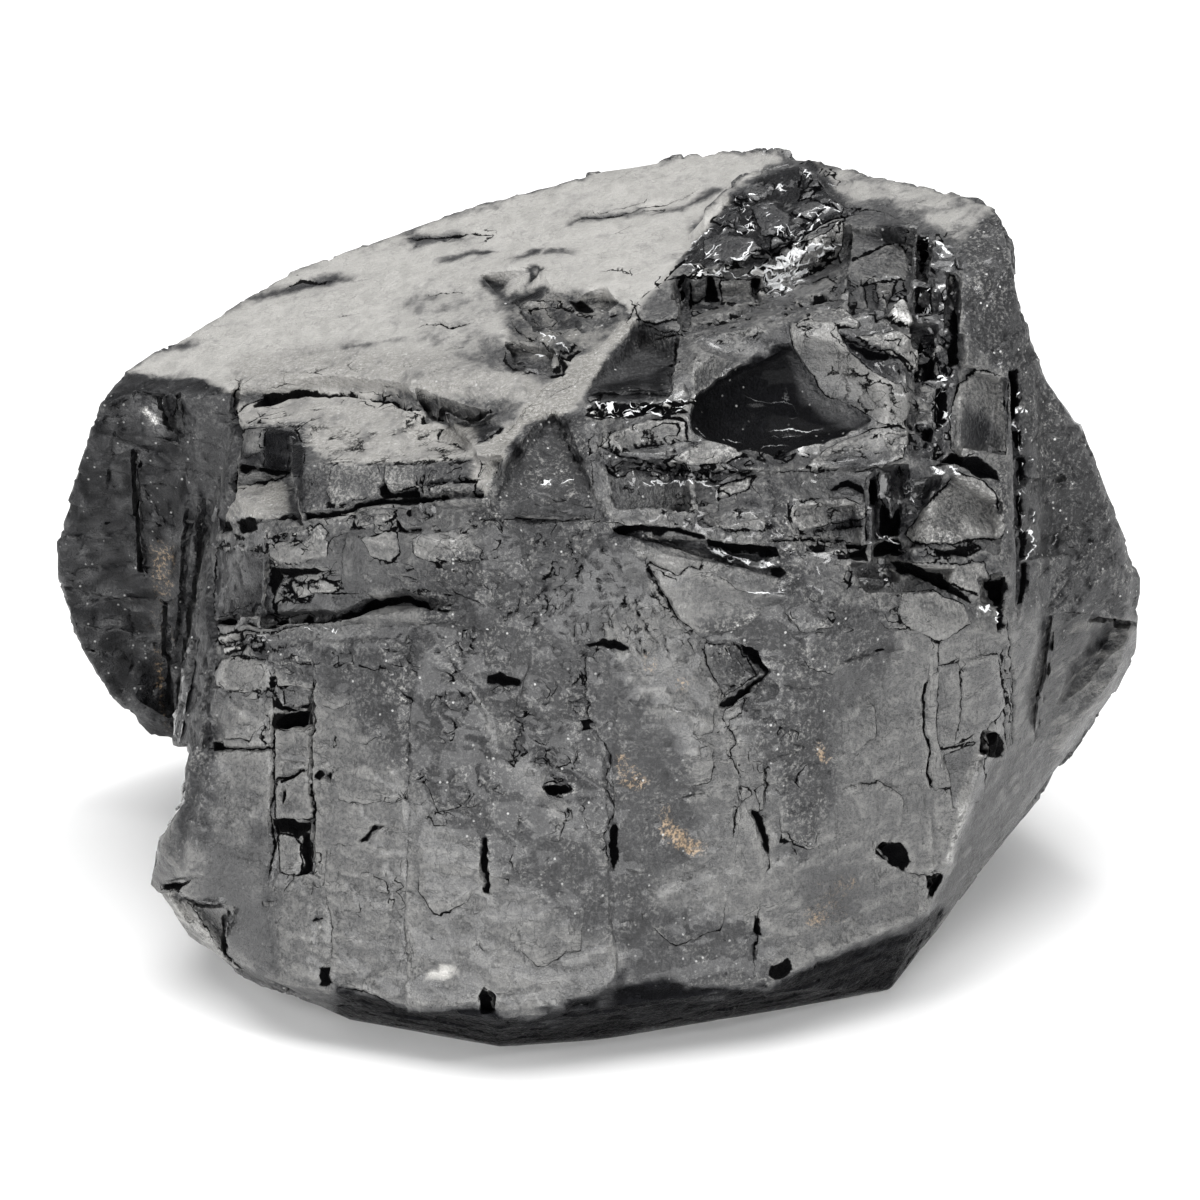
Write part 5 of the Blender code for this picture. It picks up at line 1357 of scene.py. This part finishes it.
# %% [markdown]
# # The finish
# A piece of coal has one material, but it shows five looks: dull broken coal, glassy bright coal, black cracks, a film
# of clay and stains of rust. The black of the cracks is painted shade, the clay film on the top is also a painted
# sheen, and painted glints, painted highlights and painted shade are drawn into the tone and laid over it. One
# Principled shader holds them all, and masks carry it from one to the next. The effects are node groups, each with
# named inputs, so that a value can be tried alone.


# %% Helpers for node groups
def new_group(name, inputs, outputs):
    """An empty node group with named sockets: inputs are (name, kind, start), outputs (name, kind)."""
    group = bpy.data.node_groups.new(name, "ShaderNodeTree")
    for label, kind, start in inputs:
        socket = group.interface.new_socket(label, in_out="INPUT", socket_type=kind)
        if start is not None:
            socket.default_value = start
    for label, kind in outputs:
        group.interface.new_socket(label, in_out="OUTPUT", socket_type=kind)
    return group, group.nodes.new("NodeGroupInput"), group.nodes.new("NodeGroupOutput")


FLOAT, VECTOR, COLOUR = "NodeSocketFloat", "NodeSocketVector", "NodeSocketColor"


class Wiring:
    """Adds nodes to a tree and links them: an argument that is a socket is linked, a number is set."""

    def __init__(self, tree):
        self.tree = tree

    def put(self, socket, value):
        if isinstance(value, bpy.types.NodeSocket):
            self.tree.links.new(value, socket)
        else:
            socket.default_value = value

    def node(self, kind, values=None, **settings):
        made = self.tree.nodes.new(kind)
        for name, value in settings.items():
            setattr(made, name, value)
        for key, value in (values or {}).items():
            self.put(made.inputs[key], value)
        return made

    def math(self, operation, a, b=0.0, c=0.0, clamp=False):
        return self.node("ShaderNodeMath", {0: a, 1: b, 2: c}, operation=operation, use_clamp=clamp).outputs[0]

    def step(self, value, low, high, to_low=0.0, to_high=1.0):
        """An S-shaped way from to_low to to_high as the value goes from low to high."""
        made = self.node("ShaderNodeMapRange", {"Value": value, "From Min": low, "From Max": high, "To Min": to_low,
                                                "To Max": to_high}, interpolation_type="SMOOTHSTEP")
        return made.outputs["Result"]

    def noise(self, vector, scale, detail=3.0, roughness=0.55):
        made = self.node("ShaderNodeTexNoise", {"Vector": vector, "Scale": scale, "Detail": detail,
                                                "Roughness": roughness})
        return made.outputs["Fac"]

    def blend(self, share, a, b, kind="RGBA"):
        made = self.tree.nodes.new("ShaderNodeMix")
        made.data_type = kind
        sockets = {"FLOAT": (0, 2, 3, 0), "RGBA": (0, 6, 7, 2)}[kind]
        for place, value in zip(sockets, (share, a, b)):
            self.put(made.inputs[place], value)
        return made.outputs[sockets[3]]

    def stretched(self, vector, scale, turn=(0.0, 0.0, 0.0)):
        """A Mapping node that turns and stretches the places that a pattern is read at."""
        made = self.node("ShaderNodeMapping", {"Vector": vector, "Scale": scale, "Rotation": turn})
        return made.outputs["Vector"]


# %% [markdown]
# ## Grain
# Dull coal is a mass of crushed plant stuff: fine pores, short streaks along the bedding and a few pale grains of other
# minerals. Noises of falling size give patches and pores, one that is stretched along the bedding gives the streaks,
# and a Voronoi texture whose cells are mostly left out gives single flecks. In gritty coal the flecks are made many and
# pale, and there they are mostly painted sparkle, standing in for tiny facets that catch the light.

# %% Group: grain
grain_group, grain_in, grain_out = new_group(
    "coal grain", [("Place", VECTOR, None), ("Size", FLOAT, 1.0)],
    [("Pores", FLOAT), ("Streaks", FLOAT), ("Patches", FLOAT), ("Flecks and painted sparkle", FLOAT)])
w = Wiring(grain_group)
place, size = grain_in.outputs["Place"], grain_in.outputs["Size"]
pores = w.step(w.noise(place, w.math("DIVIDE", 2600.0, size), 2.0, 0.85), 0.36, 0.64)
patches = w.step(w.noise(place, w.math("DIVIDE", 260.0, size), 4.0, 0.66), 0.32, 0.68)
streak_place = w.stretched(place, (0.13, 0.13, 1.0), (-BEDDING_DIP, 0.0, 0.0))
streaks = w.step(w.noise(streak_place, w.math("DIVIDE", 1900.0, size), 3.0, 0.65), 0.32, 0.68)
spots = w.node("ShaderNodeTexVoronoi", {"Vector": place, "Scale": w.math("DIVIDE", 1550.0, size)})
drawn = w.step(w.node("ShaderNodeSeparateColor", {0: spots.outputs["Color"]}).outputs[0], 0.81, 0.91)
flecks_and_painted_sparkle = w.math("MULTIPLY", drawn, w.step(spots.outputs["Distance"], 0.26, 0.10))
for label, value in (("Pores", pores), ("Streaks", streaks), ("Patches", patches), ("Flecks and painted sparkle", flecks_and_painted_sparkle)):
    w.put(grain_out.inputs[label], value)

# %% [markdown]
# ## Hairlines
# Between the cracks that are cut into the shape run finer ones, too thin for any mesh, so the shade in them is painted
# as dark lines. They are drawn where a rough noise passes through its middle value: that line wanders and branches as a
# crack does. A second, broader noise keeps only some of them.

# %% Group: hairlines
hair_group, hair_in, hair_out = new_group(
    "hairline cracks", [("Place", VECTOR, None), ("Lines in 10 mm", FLOAT, 3.0), ("Width", FLOAT, 0.012),
                        ("Amount", FLOAT, 0.5)], [("Mask", FLOAT)])
w = Wiring(hair_group)
scale = w.math("MULTIPLY", hair_in.outputs["Lines in 10 mm"], 100.0)
wander = w.noise(hair_in.outputs["Place"], scale, 4.0, 0.62)
off = w.math("ABSOLUTE", w.math("SUBTRACT", wander, 0.5))
line = w.step(off, hair_in.outputs["Width"], w.math("MULTIPLY", hair_in.outputs["Width"], 0.3))
keep_noise = w.noise(hair_in.outputs["Place"], w.math("MULTIPLY", scale, 0.8), 1.0)
limit = w.math("MULTIPLY_ADD", hair_in.outputs["Amount"], -0.45, 0.75)
kept = w.step(keep_noise, limit, w.math("ADD", limit, 0.06))
w.put(hair_out.inputs["Mask"], w.math("MULTIPLY", line, kept))

# %% [markdown]
# ## Sparkle
# A fresh break is covered with tiny facets that flash one at a time. A Voronoi texture gives each cell a
# chance colour, and the group turns that into a small lean of the normal, so each facet mirrors its own
# part of the room. Bump can't do this as well, because it only gives slopes at the cells' borders.

# %% Group: sparkle
sparkle_group, sparkle_in, sparkle_out = new_group(
    "facet sparkle", [("Place", VECTOR, None), ("Normal", VECTOR, None), ("Facets in 1 mm", FLOAT, 3.0),
                      ("Lean", FLOAT, 0.3)],
    [("Normal", VECTOR), ("Chance", FLOAT)])
w = Wiring(sparkle_group)
scale = w.math("MULTIPLY", sparkle_in.outputs["Facets in 1 mm"], 1000.0)
crooked = w.node("ShaderNodeTexNoise", {"Vector": sparkle_in.outputs["Place"], "Scale": 900.0, "Detail": 1.0})
shift = w.node("ShaderNodeVectorMath", {0: crooked.outputs["Color"], 1: (0.0007, 0.0007, 0.0007)},
               operation="MULTIPLY").outputs[0]
bent = w.node("ShaderNodeVectorMath", {0: sparkle_in.outputs["Place"], 1: shift}, operation="ADD").outputs[0]
facets = w.node("ShaderNodeTexVoronoi", {"Vector": bent, "Scale": scale})
centred = w.node("ShaderNodeVectorMath", {0: facets.outputs["Color"], 1: (0.5, 0.5, 0.5)},
                 operation="SUBTRACT").outputs[0]
lean = w.node("ShaderNodeVectorMath", {0: centred, "Scale": sparkle_in.outputs["Lean"]}, operation="SCALE").outputs[0]
leaning = w.node("ShaderNodeVectorMath", {0: sparkle_in.outputs["Normal"], 1: lean}, operation="ADD").outputs[0]
w.put(sparkle_out.inputs["Normal"],
      w.node("ShaderNodeVectorMath", {0: leaning}, operation="NORMALIZE").outputs[0])
w.put(sparkle_out.inputs["Chance"], w.node("ShaderNodeSeparateColor", {0: facets.outputs["Color"]}).outputs[2])

# %% [markdown]
# ## Film and stain
# Clay dust lies in a film that is worn through in streaks, and rust seeps out in spots with a hard edge.
# Both are the same effect: a soft mask is added to a noise, and only what rises over a limit counts, so
# the mask says where and the noise says in what shape.

# %% Group: broken film
film_group, film_in, film_out = new_group(
    "broken film", [("Amount", FLOAT, 0.5), ("Noise", FLOAT, 0.5), ("Hardness", FLOAT, 0.5)], [("Mask", FLOAT)])
w = Wiring(film_group)
rise = w.math("ADD", film_in.outputs["Amount"], w.math("MULTIPLY_ADD", film_in.outputs["Noise"], 0.8, -0.40))
half = w.math("MULTIPLY_ADD", film_in.outputs["Hardness"], -0.45, 0.5)
ramp = w.step(rise, w.math("SUBTRACT", 0.5, half), w.math("ADD", 0.5, half))
w.put(film_out.inputs["Mask"], w.math("MULTIPLY", ramp, w.step(film_in.outputs["Amount"], 0.0, 0.12)))

# %% [markdown]
# ## The coal's material
# The tone, which also holds painted shade and painted highlights, runs through a ramp from blue-black to a warm pale
# grey. Film, rust, the painted shade of the cracks and the painted glints are laid over it.
# Gloss comes from a clear coat whose weight follows the polish, over a dull body: coal's bright bands look
# varnished, and a coat keeps their reflections sharp while the body stays rough. In a deep crack no light
# comes back at all; a black metal gives that, because a metal's mirror takes the colour of the body.

# %% Material: the inputs
coal = bpy.data.materials.new("coal")
coal.use_nodes = True
w = Wiring(coal.node_tree)
shader = coal.node_tree.nodes["Principled BSDF"]
place = w.node("ShaderNodeTexCoord").outputs["Object"]


def value_of(name):
    return w.node("ShaderNodeAttribute", attribute_name=name).outputs["Fac"]


def use(group, **values):
    """Places a node group; underscores in the given names stand for spaces."""
    made = w.node("ShaderNodeGroup", node_tree=group)
    for name, value in values.items():
        w.put(made.inputs[name.replace("_", " ")], value)
    return made.outputs


tone, polish, gap, dust = map(value_of, ("tone", "polish", "gap", "dust"))
rust, edge, grit = map(value_of, ("rust", "edge", "grit"))
grain = use(grain_group, Place=place)


def swing(value, amount):
    """Carries a 0 to 1 value to a swing round nought."""
    return w.math("MULTIPLY_ADD", value, amount, -amount / 2)


# %% Material: cracks
crooked = swing(w.noise(place, 2600.0, 2.0, 0.6), 2.6)


def line_mask(kind):
    """Sharpens a kept distance to a line: 1 nearer than half its width, and only where a line really is."""
    way = w.math("ABSOLUTE", w.math("ADD", value_of(kind), crooked))
    wide = value_of(kind + "_wide")
    inside = w.node("ShaderNodeMapRange", {"Value": way, "From Min": w.math("ADD", wide, 0.25),
                                           "From Max": w.math("SUBTRACT", wide, 0.25)},
                    interpolation_type="SMOOTHSTEP").outputs["Result"]
    inside = w.math("MULTIPLY", inside, w.step(value_of(kind + "_near"), 0.42, 0.55))
    return w.math("MULTIPLY", inside, w.step(wide, 0.05, 0.30))


seam_shade_line, painted_glint_line = line_mask("seam_shade"), line_mask("painted_glint")
ragged = w.math("ADD", crooked, swing(w.noise(place, 620.0, 1.0), 5.2))
gap_shade_mask = w.step(w.math("ADD", gap, ragged), -0.5, 0.7)
level_place = w.stretched(place, (0.45, 0.45, 1.3), (-BEDDING_DIP, 0.0, 0.0))
cleat_place = w.stretched(place, (1.5, 1.5, 0.3), (-BEDDING_DIP, 0.0, 0.0))
level_hair = use(hair_group, Place=level_place, Lines_in_10_mm=2.8, Width=0.0095, Amount=0.66)
cleat_hair = use(hair_group, Place=cleat_place, Lines_in_10_mm=2.6, Width=0.0095, Amount=0.55)
hair = w.math("MAXIMUM", level_hair["Mask"], cleat_hair["Mask"])
hair = w.math("MULTIPLY", hair, w.step(dust, 0.6, 0.2, 0.25, 1.0))
# Painted shade: drawn gaps, seams and hairlines darken towards black in place of the shade inside cracks; painted
# glints are taken out of it.
crack_shade = w.math("SUBTRACT", w.math("MAXIMUM", gap_shade_mask, seam_shade_line), painted_glint_line, clamp=True)
crack_and_hairline_shade = w.math("MAXIMUM", crack_shade, w.math("MULTIPLY", hair, 0.8))

# %% Material: colour
cloudiness = w.math("MULTIPLY_ADD", grit, 0.10, 0.05)
mottled = w.math("MULTIPLY_ADD", swing(grain["Patches"], 1.0), cloudiness, tone)
mottled = w.math("ADD", mottled, swing(grain["Streaks"], 0.05))
coarseness = w.math("MULTIPLY_ADD", grit, 0.60, 0.06)
mottled = w.math("MULTIPLY_ADD", swing(grain["Pores"], 1.0), coarseness, mottled)
mottled = w.math("MULTIPLY_ADD", grit, -0.17, mottled)
# Painted highlight on convex edges.
mottled = w.math("MULTIPLY_ADD", edge, 0.14, mottled)
ramp = w.node("ShaderNodeValToRGB", {"Fac": mottled})
stops = ((0.0, (0.0016, 0.0017, 0.0024)), (0.25, (0.0075, 0.0078, 0.0095)), (0.5, (0.046, 0.0462, 0.0468)),
         (0.75, (0.160, 0.158, 0.152)), (1.0, (0.54, 0.535, 0.52)))
for element in list(ramp.color_ramp.elements)[1:]:
    ramp.color_ramp.elements.remove(element)
for k, (spot, colour) in enumerate(stops):
    element = ramp.color_ramp.elements[0] if k == 0 else ramp.color_ramp.elements.new(spot)
    element.position, element.color = spot, (*colour, 1.0)

film = use(film_group, Amount=dust, Noise=w.blend(0.6, grain["Patches"], grain["Streaks"], "FLOAT"), Hardness=0.2)
stain = use(film_group, Amount=rust, Noise=w.blend(0.5, grain["Patches"], grain["Pores"], "FLOAT"), Hardness=0.5)
layered = w.blend(0.6, grain["Patches"], grain["Streaks"], "FLOAT")
clay = w.blend(layered, (0.56, 0.545, 0.52, 1), (0.40, 0.39, 0.37, 1))
clay = w.blend(w.math("MULTIPLY", grain["Streaks"], 0.5), clay, (0.28, 0.275, 0.26, 1))
clay = w.blend(w.math("MULTIPLY", grain["Pores"], grit), clay, (0.12, 0.115, 0.10, 1))
ochre = w.blend(grain["Pores"], (0.11, 0.080, 0.050, 1), (0.36, 0.25, 0.145, 1))
# The clay film; on the top, and where it brightens painted glints, it is also a painted sheen.
body = w.blend(w.math("MULTIPLY", film["Mask"], 0.8), ramp.outputs["Color"], clay)
body = w.blend(w.math("MULTIPLY", stain["Mask"], 0.8), body, ochre)
# Flecks: pale mineral grains, and in gritty coal mostly painted sparkle.
fleck_and_painted_sparkle_share = w.math("MULTIPLY", grain["Flecks and painted sparkle"], w.math("MULTIPLY_ADD", grit, 0.8, 0.02, clamp=True))
body = w.blend(fleck_and_painted_sparkle_share, body, (0.62, 0.62, 0.61, 1))
# Painted shade: cracks and gaps turn near black.
body = w.blend(w.math("MULTIPLY", crack_and_hairline_shade, 0.97), body, (0.0014, 0.0014, 0.0018, 1))
# Painted glints: thin near-white lines.
body = w.blend(w.math("MULTIPLY", painted_glint_line, 0.9), body, (0.86, 0.87, 0.88, 1))
w.put(shader.inputs["Base Color"], body)

# %% Material: gloss
dull = w.math("MULTIPLY_ADD", polish, -0.2, 0.39)
dull = w.math("MULTIPLY_ADD", grit, 0.35, dull)
dull = w.math("ADD", dull, swing(grain["Pores"], 0.2))
dull = w.math("MULTIPLY_ADD", film["Mask"], 0.12, dull)
w.put(shader.inputs["Roughness"], w.math("MAXIMUM", dull, w.math("MULTIPLY", crack_shade, 0.85), clamp=True))
bare = w.math("MULTIPLY", w.math("SUBTRACT", 1.0, crack_shade), w.math("SUBTRACT", 1.0, film["Mask"]))
w.put(shader.inputs["Coat Weight"], w.math("MULTIPLY", polish, bare, clamp=True))
# Where the tone is darkest, much of it painted shade, a black metal is used so that it mirrors nothing.
shaded = w.math("MULTIPLY", w.step(tone, 0.30, 0.06), w.math("MULTIPLY_ADD", polish, -0.9, 0.9, clamp=True))
w.put(shader.inputs["Metallic"], w.math("MAXIMUM", w.math("MULTIPLY", crack_shade, 0.96), shaded))
shader.inputs["IOR"].default_value = 1.52
shader.inputs["Coat IOR"].default_value = 1.6
shader.inputs["Coat Roughness"].default_value = 0.10

# %% Material: small relief
relief_height = w.math("MULTIPLY_ADD", grain["Patches"], 1.5, w.math("MULTIPLY", grain["Pores"], 0.8))
bump = w.node("ShaderNodeBump", {"Height": relief_height, "Distance": 0.00009, "Strength": 1.0})
lean = w.math("MULTIPLY_ADD", polish, 0.16, w.math("MULTIPLY_ADD", grit, 0.24, 0.05))
coarse = use(sparkle_group, Place=place, Normal=bump.outputs["Normal"], Facets_in_1_mm=1.5, Lean=lean)
tiny = use(sparkle_group, Place=place, Normal=coarse["Normal"], Facets_in_1_mm=5.0, Lean=w.math("MULTIPLY", lean, 1.2))
w.put(shader.inputs["Normal"], tiny["Normal"])
coal_skin.data.materials.clear()
coal_skin.data.materials.append(coal)
print("coal material:", len(coal.node_tree.nodes), "nodes")

# %% [markdown]
# # The studio
# Black glossy things show the room more than their own colour, so the lights are large and pale. A wide panel overhead
# lights the top, a softer one in front fills the broad face, one at the left lights the side, and two small ones
# overhead put glints on the broken plates. The floor is plain and pale.

# %% Floor
FLOOR_HALF = 3.0
across = np.linspace(-FLOOR_HALF, FLOOR_HALF, 9)
floor_x, floor_y = np.meshgrid(across, across)
floor_points = np.stack((floor_x, floor_y, np.zeros_like(floor_x)), axis=-1).reshape(-1, 3)
corner = (np.arange(8)[:, None] * 9 + np.arange(8)).ravel()
floor_faces = np.stack((corner, corner + 1, corner + 10, corner + 9), axis=1)
floor_mesh = bpy.data.meshes.new("floor")
floor_mesh.from_pydata(floor_points.tolist(), [], floor_faces.tolist())
floor = bpy.data.objects.new("floor", floor_mesh)
bpy.context.collection.objects.link(floor)

paper = bpy.data.materials.new("studio floor")
paper.use_nodes = True
w = Wiring(paper.node_tree)
fibre = w.noise(w.node("ShaderNodeTexCoord").outputs["Object"], 30.0, 3.0)
w.put(paper.node_tree.nodes["Principled BSDF"].inputs["Base Color"],
      w.blend(fibre, (0.90, 0.90, 0.895, 1), (0.93, 0.93, 0.93, 1)))
paper.node_tree.nodes["Principled BSDF"].inputs["Roughness"].default_value = 0.9
paper.node_tree.nodes["Principled BSDF"].inputs["Specular IOR Level"].default_value = 0.1
floor_mesh.materials.append(paper)

# %% Room and lights
room = bpy.data.worlds.new("room")
bpy.context.scene.world = room
room.use_nodes = True
w = Wiring(room.node_tree)
direction = w.node("ShaderNodeTexCoord").outputs["Generated"]
height = w.node("ShaderNodeSeparateXYZ", {0: direction}).outputs["Z"]
ceiling = w.node("ShaderNodeValToRGB", {"Fac": height})
ceiling.color_ramp.elements[0].position = 0.0
ceiling.color_ramp.elements[0].color = (0.40, 0.40, 0.40, 1)
ceiling.color_ramp.elements[1].position = 0.75
ceiling.color_ramp.elements[1].color = (0.06, 0.062, 0.068, 1)
background = room.node_tree.nodes["Background"]
w.put(background.inputs["Color"], ceiling.outputs["Color"])
background.inputs["Strength"].default_value = 1.0


def panel(name, place, aim, width, height, power, tint=(1.0, 1.0, 1.0)):
    """A rectangular area light at a place, in metres, turned towards a point."""
    light = bpy.data.lights.new(name, "AREA")
    light.shape, light.size, light.size_y = "RECTANGLE", width, height
    light.energy, light.color = power, tint
    holder = bpy.data.objects.new(name, light)
    away = np.array(place) - np.array(aim)
    flat = math.hypot(away[0], away[1])
    holder.location = place
    holder.rotation_euler = (math.atan2(flat, away[2]), 0.0, math.atan2(away[0], -away[1]))
    holder.visible_camera = False
    bpy.context.collection.objects.link(holder)
    return holder


MIDDLE = (0.0, 0.0, 0.035)
panel("panel_top", (0.0, 0.15, 1.5), MIDDLE, 1.6, 1.4, 30.0)
panel("panel_front", (0.0, -1.25, 0.30), MIDDLE, 2.0, 0.5, 18.5)
panel("panel_left", (-1.1, -0.35, 0.7), MIDDLE, 0.7, 0.7, 6.0)
panel("panel_over", (0.20, 0.30, 0.95), MIDDLE, 0.16, 0.16, 2.0)
panel("panel_over_right", (0.75, -0.45, 0.85), MIDDLE, 0.16, 0.16, 2.4)

# %% Camera
camera_data = bpy.data.cameras.new("camera")
camera = bpy.data.objects.new("camera", camera_data)
bpy.context.collection.objects.link(camera)
bpy.context.scene.camera = camera
camera_data.sensor_width = 36.0
camera_data.lens = 36.0 * EYE_DISTANCE * 10 / SHEET
camera_data.clip_start, camera_data.clip_end = 0.05, 20.0
camera.location = tuple(EYE * MM)
camera.rotation_euler = (math.pi / 2 - EYE_DOWN, 0.0, 0.0)
bpy.context.scene.view_settings.view_transform = "Standard"
